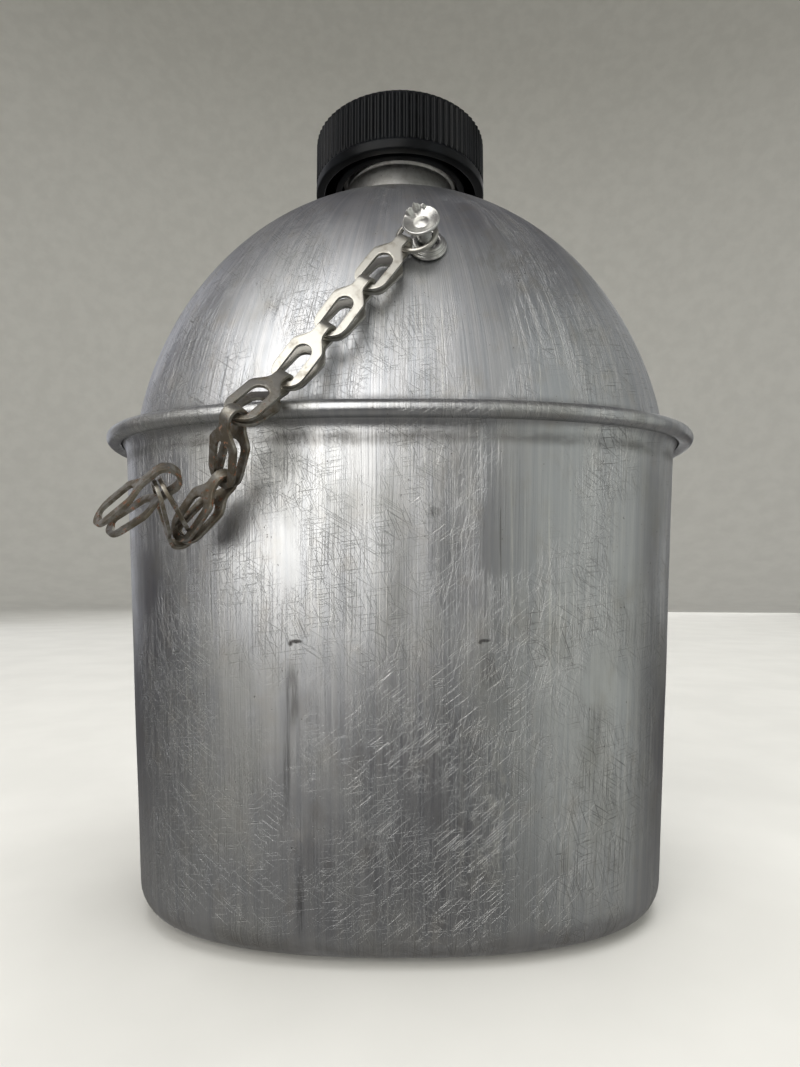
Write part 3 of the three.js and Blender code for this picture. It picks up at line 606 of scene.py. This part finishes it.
def canteen_surface():
    """Outside and inside of the canteen: flat bottom, tapered wall, domed shoulder and a collar at the
    neck."""
    def face(inset, floor, corner, wall_rows, shoulder_rows):
        height, insets, scale = vessel_rows(inset, floor, corner, SHOULDER_START - 4, wall_rows)
        section = cup_section(height)
        wall = kidney_rings(section, insets, height, scale)
        turn = np.linspace(0, np.pi / 2, shoulder_rows)
        c, s = np.cos(turn), np.sin(turn)
        share = np.maximum(0, c) ** (2 / SHOULDER_POWER)
        rise = SHOULDER_TOP - SHOULDER_START
        level = SHOULDER_START + rise * s ** (2 / SHOULDER_POWER)
        outwards = np.abs(c) ** (2 - 2 / SHOULDER_POWER) / SHOULDER_MEAN_REACH
        upwards = np.abs(s) ** (2 - 2 / SHOULDER_POWER) / rise
        size = np.hypot(outwards, upwards)
        depth = inset - CANTEEN_INSET
        section = shoulder_section(share)
        insets = dented(section, level, depth * outwards / size, CANTEEN_DENTS, (112, 166, 0.03))
        return wall, kidney_rings(section, insets, level - depth * upwards / size)

    corner = CUP_CORNER - CANTEEN_INSET
    wall, dome = face(CANTEEN_INSET, CANTEEN_FLOOR, corner, 30, 90)
    inner_wall, inner_dome = face(CANTEEN_INSET + CANTEEN_WALL, CANTEEN_FLOOR + CANTEEN_WALL,
                                  corner - CANTEEN_WALL, 16, 40)
    hole = NECK_RADIUS + GAP
    hole_section = {**shoulder_section(np.zeros(1)), "half_width": hole, "front": hole, "back": hole}
    collar_top = SHOULDER_TOP + 0.6
    collar = kidney_rings(hole_section, 0, collar_top)
    inner_collar = kidney_rings(hole_section, 0, collar_top - CANTEEN_WALL)
    rings = np.concatenate([wall, dome, collar, inner_collar, inner_dome[::-1], inner_wall[::-1]])
    return skin("canteen", rings, uv=surface_map(rings))


# ---------- neck and cap ----------

AXIS = np.array([0, MIDDLE_Y, 0])


def neck_surface():
    """The neck turned from its profile; a helical ridge is added to the radius where the cap's thread runs:
    it peaks where the height less the pitch's share of the angle is a whole number of pitches."""
    flange = SHOULDER_TOP - 3
    outside = soften([
        [NECK_BORE + 0.2, flange], [NECK_RADIUS + 2, flange], [NECK_RADIUS + 2, flange + 1.1],
        [NECK_RADIUS, flange + 1.2], [NECK_RADIUS, SHOULDER_TOP + 0.7],
        [NECK_RADIUS + 0.65, SHOULDER_TOP + 1.5],
        [NECK_RADIUS, SHOULDER_TOP + 2.5], [NECK_RADIUS, CAP_BOTTOM + 1],
    ], 0.5)
    thread_height = np.linspace(CAP_BOTTOM + 1.2, NECK_TOP - 0.6, 70)
    threaded = np.stack([np.full(len(thread_height), NECK_RADIUS), thread_height], axis=-1)
    lip = soften([[NECK_RADIUS, NECK_TOP - 0.4], [NECK_RADIUS, NECK_TOP], [NECK_BORE, NECK_TOP],
                  [NECK_BORE, NECK_TOP - 2], [NECK_BORE, flange]], 0.4)
    profile = np.concatenate([outside, threaded, lip])
    columns = 144
    rings = turned(profile, columns)
    angle = np.linspace(0, 2 * np.pi, columns, endpoint=False)
    height = profile[:, 1:2]
    phase = (height - CAP_BOTTOM - 3.1) / THREAD_PITCH - angle / (2 * np.pi)
    wave = np.clip(np.cos(2 * np.pi * phase) * 1.6 - 0.35, 0, 1)
    fade = np.clip((height - CAP_BOTTOM - 1.6) / 1.5, 0, 1) * np.clip((NECK_TOP - 1 - height) / 1.5, 0, 1)
    on_thread = np.zeros((len(profile), 1))
    on_thread[len(outside):len(outside) + len(threaded)] = 1
    grow = 1 + (THREAD_CREST - NECK_RADIUS) / NECK_RADIUS * wave * fade * on_thread
    rings[..., :2] *= grow[..., None]
    return skin("neck", rings + AXIS, loop=True)


RIBS, RIB_DEPTH = 80, 0.34


def cap_surface():
    """The cap turned from its profile. Between the smooth lip and the top edge the radius is moved in and
    out by the ribs, a flattened cosine of the angle."""
    inner, wall = THREAD_CREST + 0.5, 1.8
    roof = CAP_TOP - 1.6
    rib_low, rib_high = CAP_BOTTOM + 2.9, CAP_TOP - 1.5
    skirt = CAP_RADIUS - 2.4
    underside = soften([
        [0.2, roof], [inner, roof], [inner, CAP_BOTTOM + 1.2], [inner + wall, CAP_BOTTOM + 1.2],
        [inner + wall, roof - 2.2], [skirt, roof - 2.2], [skirt, CAP_BOTTOM], [CAP_RADIUS, CAP_BOTTOM],
        [CAP_RADIUS, CAP_BOTTOM + 2.5], [CAP_RADIUS - 0.35, rib_low],
    ], 0.45)
    rib_height = np.linspace(rib_low, rib_high, 26)[1:-1]
    ribbed = np.stack([np.full(len(rib_height), CAP_RADIUS - 0.35), rib_height], axis=-1)
    top = soften([[CAP_RADIUS - 0.4, rib_high], [CAP_RADIUS - 1.4, CAP_TOP - 0.1], [CAP_RADIUS - 3, CAP_TOP],
                  [CAP_RADIUS - 9, CAP_TOP], [0.2, CAP_TOP]], 0.9, 5)
    profile = np.concatenate([underside, ribbed, top])
    columns = RIBS * 12
    rings = turned(profile, columns)
    angle = np.linspace(0, 2 * np.pi, columns, endpoint=False)
    rib = np.clip(np.cos(RIBS * angle) * 1.5, -1, 1)
    height = profile[:, 1:2]
    fade = np.clip((height - rib_low + 0.2) / 0.7, 0, 1) * np.clip((CAP_TOP - 0.25 - height) / 1.1, 0, 1)
    outer = (profile[:, :1] > skirt + 0.6) * (height > CAP_BOTTOM + 2.6)
    rings[..., :2] *= (1 + RIB_DEPTH / CAP_RADIUS * rib * fade * outer)[..., None]
    return skin("cap", rings + AXIS)


def gasket_surface():
    """A disc with rounded edges and the ring that the neck's lip has pressed into its underside."""
    low, high = NECK_TOP + GAP, CAP_TOP - 1.6 - GAP
    profile = soften([
        [0.2, low], [NECK_BORE - 0.3, low], [NECK_BORE + 0.1, low + 0.25], [NECK_RADIUS, low + 0.25],
        [NECK_RADIUS + 0.4, low], [15.8, low], [15.8, high], [0.2, high],
    ], 0.35)
    return skin("gasket", turned(profile, 96) + AXIS)


# ---------- stud and chain ----------

def points_of(node):
    """A CAD node's points in millimetres."""
    mesh = frame["nodes"][node].data
    points = np.zeros(len(mesh.vertices) * 3)
    mesh.vertices.foreach_get("co", points)
    return points.reshape(-1, 3) / MM


def centre_of(node):
    """The mean of a CAD node's different corners, in millimetres."""
    return np.unique(np.round(points_of(node), 3), axis=0).mean(axis=0)


def joint_place(name):
    """A joint's point in millimetres and its direction."""
    joint = JOINTS[name]
    return np.array(joint["pos_m"]) / MM, np.array(joint["axis"], float)


stud_foot, stud_along = joint_place("ring_swivel")
ring_middle = centre_of("swivel_ring")
first_link, _ = joint_place("link_1_hinge")
TORN_SIDE = math.radians(112)


def stud_surface():
    """A post whose head was hammered over: a dished disc with a bright dimple, and a torn lip that stands up
    on the upper left side, its edge ragged."""
    profile = soften([
        [0.1, 0.6], [1.9, 0.6], [1.6, 1.4], [1.6, 5.6], [2.3, 6.5], [3.9, 6.9], [4.2, 7.4], [3.9, 7.8],
        [3.2, 7.5], [1.7, 6.9], [1.1, 7.1], [0.1, 7.3],
    ], 0.45, 5)
    columns = 96
    rings = turned(profile, columns)
    angle = np.linspace(0, 2 * np.pi, columns, endpoint=False)
    away = np.abs((angle - TORN_SIDE + np.pi) % (2 * np.pi) - np.pi)
    window = np.clip(1.15 - away / 0.62, 0, 1) ** 0.6
    ragged = 0.72 + 0.2 * np.sin(11 * angle) + 0.14 * np.sin(23 * angle + 1)
    rim = np.clip((profile[:, :1] - 2.6) / 1.2, 0, 1) * (profile[:, 1:2] > 6.7)
    rings[..., 2] += 1.7 * rim * window * ragged
    rings[..., :2] *= (1 - 0.1 * rim * window * (1 - 0.3 * ragged))[..., None]
    return skin("stud", placed(rings, stud_foot, stud_along, [1, 0, 0]))


def base_surface():
    """Three thin washers pressed together under the post, each a little smaller than the one below."""
    profile = soften([
        [2.5, 0.35], [4.35, 0.35], [4.5, 0.65], [4.3, 0.95], [3.95, 1.0], [4.0, 1.3], [3.75, 1.45],
        [3.45, 1.5], [3.4, 1.95], [2.9, 2.1], [2.5, 2.0],
    ], 0.14, 3, loop=True)
    # The washers lie square to the dome: along the direction in which the solid's points are spread least.
    spread = np.linalg.svd(points_of("stud_base") - centre_of("stud_base"), full_matrices=False)[2]
    normal = spread[2] * np.sign(spread[2] @ stud_along)
    return skin("stud_base", placed(turned(profile, 96), stud_foot, normal), loop=True)


def ring_surface():
    """A wire ring, not quite round in its section where it rubs on the post."""
    turn = np.linspace(0, 2 * np.pi, 20, endpoint=False)
    profile = np.stack([4.2 + 0.6 * np.cos(turn), 0.56 * np.sin(turn)], axis=-1)
    rings = placed(turned(profile, 72), ring_middle, stud_along, first_link - ring_middle)
    return skin("ring", rings, loop=True)


def link_surface(number, fold_inner, tip_gap, length, fold_back):
    """One link: a strip with a slotted loop at each end, folded round at its waist. The waist's sides widen
    into the loop by a smooth step, the loop ends in a half circle, and the slot has a round near end and a
    squarer far end."""
    waist, loop, slot, corner = 1.25, 3.7, 2.0, 0.8
    slot_far = length - 1.5
    slot_near = slot_far - 8.4
    radius = fold_inner + SHEET / 2
    arc = radius * np.pi / 2

    def half_width(station):
        x = np.abs(station) - arc - fold_back
        t = np.clip((x - 1.4) / 4.0, 0, 1)
        neck = waist + (loop - waist) * t * t * (3 - 2 * t)
        tip = np.sqrt(np.maximum(loop**2 - np.maximum(0, x - length + loop) ** 2, 0))
        return np.maximum(np.minimum(neck, tip), 0.12)

    def half_slot(station):
        x = np.abs(station) - arc - fold_back
        near = np.sqrt(np.maximum(slot**2 - np.maximum(0, slot_near + slot - x) ** 2, 0))
        far = slot - corner + np.sqrt(np.maximum(corner**2 - np.maximum(0, x - slot_far + corner) ** 2, 0))
        return np.where((x > slot_near + 0.001) & (x < slot_far + 0.001), np.minimum(near, far), 0.0)

    def lay(station, across):
        side = np.sign(station)
        s = np.abs(station)
        turn = np.minimum(s, arc) / radius
        x = -fold_back - radius * np.cos(turn) + np.maximum(s - arc, 0)
        share = np.clip((x + fold_back) / (length + fold_back), 0, 1)
        bow = 0.06 * np.sin(np.pi * share)
        z = radius * np.sin(turn) + (tip_gap + SHEET / 2 - radius) * share + bow
        local = np.stack([x, across, side * z], axis=-1)
        return placed(local, origin, z_axis, x_axis)

    origin, hinge = joint_place(f"link_{number}_hinge")
    y_axis = -hinge
    follower = f"link_{number + 1}_hinge"
    x_axis = (joint_place(follower)[0] if follower in JOINTS else centre_of(f"chain_link_{number}")) - origin
    x_axis = x_axis - y_axis * (x_axis @ y_axis)
    z_axis = np.cross(x_axis, y_axis)
    bend = np.sin(np.linspace(0, np.pi / 2, 9))
    leaf = np.concatenate([
        np.linspace(0, slot_near, 9)[:-1], slot_near + slot * (1 - np.cos(np.linspace(0, np.pi / 2, 9))),
        np.linspace(slot_near + slot, length - loop, 6)[1:], length - loop + (loop - 0.004) * bend[1:],
        slot_far - corner + corner * bend, [slot_far + 0.02],
    ]) + arc + fold_back
    if fold_back:
        leaf = np.concatenate([[arc, arc + fold_back / 2], leaf])
    half = np.unique(np.round(np.concatenate([np.linspace(0, arc, 12), leaf]), 4))
    stations = np.concatenate([-half[:0:-1], half])
    points, quads = strip(stations, half_width, half_slot, lay)
    return mesh_from(f"link_{number}", points, quads)


# ---------- handle ----------

wall_at_pin = cup_section(np.array(float(PIN_HEIGHT + BRACKET_HEIGHT / 2)))
WALL_BACK = float(wall_at_pin["back"] - wall_at_pin["hollow"])
PIN_Y = WALL_BACK + BRACKET_GAP + BRACKET_SHEET + 2 * GAP + BARREL_RADIUS
STRAP_INNER = PIN_Y - BARREL_RADIUS
EAR_X = STRAP_WIDTH / 2 + GAP + EAR_SHEET / 2


def wall_curve(x):
    """The hollow wall's line behind the bracket: the back depth less a squared parabola."""
    reach = x / float(wall_at_pin["hollow_half"])
    return float(wall_at_pin["back"]) - float(wall_at_pin["hollow"]) * (1 - reach**2) ** 2


def rounded_end(station, low, high, half, radius):
    """The half width of a plate between two stations whose corners have a radius."""
    near = np.minimum(station - low, high - station)
    return half - radius + np.sqrt(np.maximum(radius**2 - np.maximum(0, radius - near) ** 2, 0.01))


def end_stations(low, high, radius, rows):
    """Stations between two ends, closer together in the round corners."""
    turn = radius * (1 - np.cos(np.linspace(0, np.pi / 2, 9)))
    straight = np.linspace(low + radius, high - radius, rows)
    return np.unique(np.round(np.concatenate([low + turn, straight, high - turn]), 4))


def bracket_surface():
    """A plate that follows the hollow wall, with two ears that stand out from it and hold the pin."""
    corner, ear_radius = 4, 4
    low, high = PIN_HEIGHT - BRACKET_HEIGHT / 2, PIN_HEIGHT + BRACKET_HEIGHT / 2
    middle = BRACKET_GAP + BRACKET_SHEET / 2 + MIDDLE_Y

    def plate_lay(station, across):
        return np.stack([across, wall_curve(across) + middle, station], axis=-1)

    def no_slot(station):
        return 0 * station

    def plate_half(station):
        return rounded_end(station, low, high, BRACKET_HALF_WIDTH, corner)

    def ear_half(station):
        round_end = np.sqrt(np.maximum(ear_radius**2 - np.maximum(0, station - PIN_Y) ** 2, 0.01))
        return round_end + 2.4 * np.clip(1 - (station - foot) / 2.2, 0, 1) ** 2

    plate = strip(end_stations(low, high, corner, 12), plate_half, no_slot, plate_lay, 17)
    foot = WALL_BACK + BRACKET_GAP + 0.9
    turn = PIN_Y + ear_radius * np.sin(np.linspace(0, np.pi / 2, 12))
    stations = np.unique(np.round(np.concatenate([np.linspace(foot, PIN_Y, 14), turn]), 4))
    ears = []
    for side in (-1, 1):
        def ear_lay(station, across, side=side):
            return np.stack([side * EAR_X + 0 * station, station + MIDDLE_Y, PIN_HEIGHT + across], axis=-1)

        ears.append(strip(stations, ear_half, no_slot, ear_lay, 7))
    points, quads = joined([plate, *ears])
    return mesh_from("bracket", points, quads)


def strap_surface():
    """The strap: a round end with a finger hole, a long slot for the latch, and a knuckle rolled round the
    pin."""
    half = STRAP_WIDTH / 2
    radius = BARREL_RADIUS - STRAP_SHEET / 2
    roll = np.radians(292) * radius
    ovals = [(STRAP_END + 4, STRAP_END + 13, 3.0), (26.0, 70.0, 2.5)]

    def half_width(station):
        return np.sqrt(np.maximum(half**2 - np.maximum(0, STRAP_END + half - station) ** 2, 0.02))

    def half_slot(station):
        slot = 0 * station
        for low, high, oval in ovals:
            near = np.minimum(station - low, high - station)
            inside = np.sqrt(np.maximum(oval**2 - np.maximum(0, oval - near) ** 2, 0))
            slot = np.where(near > 0.0005, np.maximum(slot, inside), slot)
        return slot

    def lay(station, across):
        past = np.maximum(station - PIN_HEIGHT, 0)
        turn = np.pi - past / radius
        y = PIN_Y + radius * np.cos(turn)
        z = np.minimum(station, PIN_HEIGHT) + np.where(past > 0, radius * np.sin(turn), 0)
        return np.stack([across, y + MIDDLE_Y, z], axis=-1)

    parts = [STRAP_END + half * (1 - np.cos(np.linspace(0.03, np.pi / 2, 16)))]
    for low, high, oval in ovals:
        turn = oval * (1 - np.cos(np.linspace(0, np.pi / 2, 10)))
        parts += [low + turn, high - turn]
    parts += [np.linspace(30, 66, 13), np.linspace(PIN_HEIGHT, PIN_HEIGHT + roll, 34), np.array([74.0, 79.0])]
    stations = np.unique(np.round(np.concatenate(parts), 4))
    points, quads = strip(stations, half_width, half_slot, lay, 6)
    return mesh_from("strap", points, quads)


def rounded_rectangle(half_x, half_y, radius, per_corner=8):
    """Counter-clockwise points of a rectangle with round corners."""
    out = []
    for corner, (sx, sy) in enumerate([(1, 1), (-1, 1), (-1, -1), (1, -1)]):
        turn = np.linspace(0, np.pi / 2, per_corner) + corner * np.pi / 2
        out.append(np.stack([sx * (half_x - radius) + radius * np.cos(turn),
                             sy * (half_y - radius) + radius * np.sin(turn)], axis=-1))
    return np.concatenate(out)


def latch_surface():
    """The latch's sleeve: a rounded rectangular tube carried up the strap, its edges rounded over."""
    thickness, half = 1.0, LATCH_HEIGHT / 2
    inner = (STRAP_WIDTH / 2 + GAP, STRAP_SHEET / 2 + GAP)
    profile = soften([[0, -half], [thickness, -half], [thickness, half], [0, half]], 0.3, 4, loop=True)
    rings = []
    for depth, height in profile:
        ring = rounded_rectangle(inner[0] + 0.8 + depth, inner[1] + depth, 0.7 + depth)
        rings.append(np.column_stack([ring, np.full(len(ring), LATCH_REST + height)]))
    rings = np.array(rings) + [0, STRAP_INNER + STRAP_SHEET / 2 + MIDDLE_Y, 0]
    return skin("latch", rings, loop=True)


def knob_surface():
    """The latch's thumb stud: a post and a low domed head with fine turning on it."""
    profile = soften([
        [0.1, -1.4], [1.5, -1.4], [1.5, 2.1], [3.1, 2.1], [3.4, 2.5], [3.3, 3.3], [2.2, 3.7], [0.1, 3.8],
    ], 0.3)
    origin = [0, STRAP_INNER + STRAP_SHEET / 2 + 0.4 + MIDDLE_Y, LATCH_REST]
    return skin("latch_stud", placed(turned(profile, 64), origin, [0, 1, 0]))


def pin_surface():
    """The hinge pin with its two peened heads."""
    reach = EAR_X + EAR_SHEET / 2 + GAP
    head = PIN_RADIUS + 1
    upper = [[PIN_RADIUS, reach], [head, reach], [head, reach + 0.6], [1.6, reach + 1.1], [0.1, reach + 1.2]]
    lower = [[radius, -height] for radius, height in reversed(upper)]
    rings = turned(soften(lower + upper, 0.35), 48)
    return skin("hinge_pin", placed(rings, [0, PIN_Y + MIDDLE_Y, PIN_HEIGHT], [1, 0, 0]))


def rivet_surface(number, side, up):
    """A domed rivet, square to the curved plate at its own place."""
    x = side * RIVET_X
    half = float(wall_at_pin["hollow_half"])
    reach = x / half
    slope = 4 * float(wall_at_pin["hollow"]) * (1 - reach**2) * reach / half
    profile = soften([
        [0.1, -2.7], [1.4, -2.7], [1.4, 0.2], [2.75, 0.2], [2.6, 0.85], [1.8, 1.45], [0.1, 1.7],
    ], 0.4, 5)
    origin = [x, wall_curve(np.array(x)) + BRACKET_GAP + BRACKET_SHEET + MIDDLE_Y, PIN_HEIGHT + up * RIVET_Z]
    return skin(f"rivet_{number}", placed(turned(profile, 48), origin, [-slope, 1, 0]))


# ---------- the pieces ----------

def front(x, z):
    """A place on the front, in millimetres in the frame of the part."""
    return (x, MIDDLE_Y - FRONT_DEPTH, z)


cup_metal = worn_aluminium(
    "drawn_aluminium_brushed_and_worn", ("#C9CACB", "#BDBFC2", "#ABABA6", "#B6B2AC"), 0.25,
    # Painted shade in a dark band just under the rolled rim; the cup is also darker towards its foot.
    [(107.6, 2.2, 0.45, "#4A4640"), (2, 7, 0.4, "#6E665E")],
    marks=[
        (front(-22, 55), (2.2, 30, 9), 0.5, "#45403B"), (front(-23, 40), (1.2, 30, 14), 0.35, "#4C4844"),
        (front(18, 60), (2.2, 30, 5), 0.35, "#45403B"), (front(23, 84), (0.35, 30, 27), 0.55, "#EFEFEA"),
        (front(20.6, 86), (0.25, 30, 24), 0.5, "#55524D"), (front(31, 78), (0.3, 30, 30), 0.5, "#E8E8E2"),
        (front(-8, 107), (30, 30, 2.2), 0.35, "#55504A"), (front(41, 46), (2.4, 30, 9), 0.28, "#4C4944"),
        (front(-20, 14), (1.0, 30, 10), 0.5, "#3F3A36"), (front(7, 92), (2, 30, 1.4), 0.4, "#4C4843"),
    ],
    stains=[(front(20, 32), (5, 30, 26), 0.7, "#DADAD6"), (front(15, 22), (8, 30, 7), 0.6, "#E2E2DE"),
            (front(-20, 26), (6, 30, 6), 0.5, "#D2D0CC"), (front(7, 8), (9, 30, 5), 0.5, "#D8D6D2")],
    # Two pairs of small solid dark spots on the front, about 65 mm up.
    dark_spots=[(front(-21.3, 65.6), (1.9, 20, 0.6), 0.85, "#2C2825"),
             (front(-22.4, 65.1), (0.7, 20, 0.7), 0.8, "#2C2825"),
             (front(17.3, 65.8), (1.7, 20, 0.5), 0.7, "#2C2825"),
             (front(16.3, 65.4), (0.6, 20, 0.5), 0.6, "#2C2825")],
)
canteen_metal = worn_aluminium(
    "drawn_aluminium_dome_brushed", ("#CCCDD0", "#BEC1C6", "#ACADAC", "#B9B4AB"), 0.31,
    # Painted shade in a near black band where the canteen goes down into the cup's rim; a brownish band round
    # the neck's foot.
    [(114.5, 3.2, 0.9, "#33302C"), (178, 5, 0.5, "#7A6A58")],
    marks=[(front(9, 128), (0.3, 60, 22), 0.5, "#F0F0EC"), (front(4, 154), (2.5, 60, 7), 0.3, "#E8E8EA"),
           (front(30, 122), (0.3, 60, 12), 0.45, "#E8E8E2")],
    stains=[(front(24, 150), (14, 60, 10), 0.35, "#8E8A84")],
)
TOOL_LINES, NO_LINES = (6, 6, 0.22), (0.5, 0.5, 0.5)  # a lathe's fine rings, and the grain of pressed metal
bright_metal = turned_metal("turned_aluminium_bright", ("#E2E2DF", "#C6C5C1", "#77726B"), 0.16, TOOL_LINES)
neck_metal = turned_metal("turned_aluminium_satin", ("#EDEDEA", "#D8D7D3", "#8E8A82"), 0.34, TOOL_LINES)
plastic = moulded_phenolic("moulded_black_phenolic")
cork = cork_rubber("rubber_bound_cork")
links_metal = plated_steel("nickel_plated_stamped_steel")
strap_metal = rolled_steel("rolled_stainless_strip", ("#B4B3B0", "#A09F9C", "#7C7974"), 0.26)
rivet_finish = turned_metal("pressed_rivet_steel", ("#BDBCB9", "#9C9A96", "#5E5A55"), 0.26, NO_LINES)

piece(cup_surface(), cup_metal, "cup", ["cup_shell"])
piece(canteen_surface(), canteen_metal, "canteen", ["canteen_shell"])
piece(neck_surface(), neck_metal, "canteen", ["canteen_neck"])
piece(cap_surface(), plastic, "cap", ["cap_shell"])
piece(gasket_surface(), cork, "cap_liner", ["cap_gasket"])
piece(base_surface(), bright_metal, "canteen", ["stud_base"])
piece(stud_surface(), bright_metal, "canteen", ["chain_stud"], sharp=50)
piece(ring_surface(), links_metal, "ring", ["swivel_ring"])
LAST_LINK = 8
for number in range(1, LAST_LINK + 1):
    shape = (2.0, 1.1, 13.6, 1.8) if number == LAST_LINK else (1.7, 0.15, PITCH + 0.75, 0.0)
    piece(link_surface(number, *shape), links_metal, f"link_{number}", [f"chain_link_{number}"],
          sheet=SHEET, bevel=0.14)
piece(bracket_surface(), strap_metal, "cup", ["handle_bracket"], sheet=1.7, bevel=0.25)
for number, (side, up) in enumerate([(-1, 1), (1, 1), (-1, -1), (1, -1)], 1):
    piece(rivet_surface(number, side, up), rivet_finish, "cup", [f"handle_rivet_{number}"])
piece(pin_surface(), rivet_finish, "cup", ["handle_pin"])
piece(strap_surface(), strap_metal, "handle", ["handle_strap"], sheet=STRAP_SHEET, bevel=0.25)
piece(latch_surface(), strap_metal, "latch", ["handle_latch"])
piece(knob_surface(), rivet_finish, "latch", ["latch_stud"])


# ---------- studio ----------

def studio_paper(name, code):
    """Seamless studio paper: matt, with the faint cloudiness of its pulp."""
    material, tree, shader, place = begin(name)
    pulp = cloud(tree, place, (60, 60, 60), 3.0)
    colour = coats(tree, srgb(code), (pulp, 0.3, 0.7, 1.0, "#DEDDD9"))
    connect(tree, shader, {"Base Color": colour, "Roughness": 0.9})
    return material


def bowl():
    """A round seamless backdrop: a flat floor that curves up into a wall all round, a profile turned about
    the middle. It doesn't show in the metal, so that the metal mirrors only the lamps and the dim room."""
    turn = np.linspace(0, np.pi / 2, 24)
    radius = np.concatenate([[60, 400, 900, 1500], 2100 + 900 * np.sin(turn), [3000]])
    height = np.concatenate([[0, 0, 0, 0], 900 * (1 - np.cos(turn)), [3400]])
    rings = turned(np.stack([radius, height - 0.05], axis=-1), 96)
    mesh = skin("floor", rings)
    mesh.flip_normals()
    thing = bpy.data.objects.new("floor", mesh)
    bpy.context.scene.collection.objects.link(thing)
    mesh.materials.append(studio_paper("seamless_paper", "#E4E3DF"))
    mesh.shade_smooth()
    thing.visible_glossy = False


def lamp(name, place, target, size, watts, tint, mirrored=True):
    """A soft rectangular studio lamp aimed at a point; the metal can be kept from mirroring it."""
    light = bpy.data.lights.new(name, "AREA")
    light.shape = "RECTANGLE"
    light.size, light.size_y = size
    light.energy = watts
    light.color = srgb(tint)[:3]
    thing = bpy.data.objects.new(name, light)
    thing.location = place
    thing.visible_camera = False
    thing.visible_glossy = mirrored
    thing.rotation_euler = (Vector(target) - Vector(place)).to_track_quat("-Z", "Y").to_euler()
    bpy.context.scene.collection.objects.link(thing)


bowl()
lamp("window", (-0.41, -0.85, 0.5), (0, 0, 0.1), (0.92, 1.25), 9.2, "#FFFDF8")
lamp("wall", (1.05, -0.7, 0.3), (0, 0, 0.1), (1.6, 1.9), 4.8, "#F2F6EC")
lamp("edge", (-0.9, 0.75, 0.5), (0, 0, 0.1), (0.4, 1.2), 1.3, "#F6F8FF")
lamp("far_wall", (1.0, 0.55, 0.5), (0, 0, 0.1), (0.4, 1.2), 0.8, "#F2F4EE")
lamp("rear", (0.25, 1.5, 0.5), (0, 0, 0.1), (1.5, 1.3), 6, "#F8F8F6")
lamp("overhead", (0.2, -0.3, 2.2), (0, 0, 0), (1.6, 1.6), 32, "#FFFFFF", mirrored=False)

world = bpy.data.worlds.new("studio")
bpy.context.scene.world = world
world.use_nodes = True
# The dim room: mid grey walls, darker low down, and a pale floor except on the camera's side.
sky = world.node_tree
outwards = add(sky, "TexCoord", {}, "Generated")
upwards, backwards = add(sky, "SeparateXYZ", {0: outwards}, "Z"), add(sky, "SeparateXYZ", {0: outwards}, "Y")
room = coats(sky, srgb("#6A676A"), (upwards, -0.25, 0.1, 1.0, "#8C898C"))
pale = add(sky, "Math", {0: add(sky, "MapRange", {0: upwards, 1: -0.12, 2: -0.5}, **STEP),
                         1: add(sky, "MapRange", {0: backwards, 1: -0.95, 2: -0.6}, **STEP)}, **TIMES)
room = add(sky, "Mix", {0: pale, 6: room, 7: srgb("#C2C0BC")}, **OVER)
connect(sky, sky.nodes["Background"], {"Color": room, "Strength": 0.42})
bpy.context.scene.view_settings.view_transform = "Standard"

VIEW_DISTANCE, VIEW_HEIGHT, VIEW_TILT = 176.1, 77.6, 94.31  # millimetres, and degrees from straight down
camera = bpy.data.cameras.new("camera")
camera.sensor_width = 36
camera.lens = 21.93
camera.clip_start = 0.01
viewer = bpy.data.objects.new("camera", camera)
viewer.location = (0, (MIDDLE_Y - VIEW_DISTANCE) * MM, VIEW_HEIGHT * MM)
viewer.rotation_euler = (math.radians(VIEW_TILT), 0, 0)
bpy.context.scene.collection.objects.link(viewer)
bpy.context.scene.camera = viewer
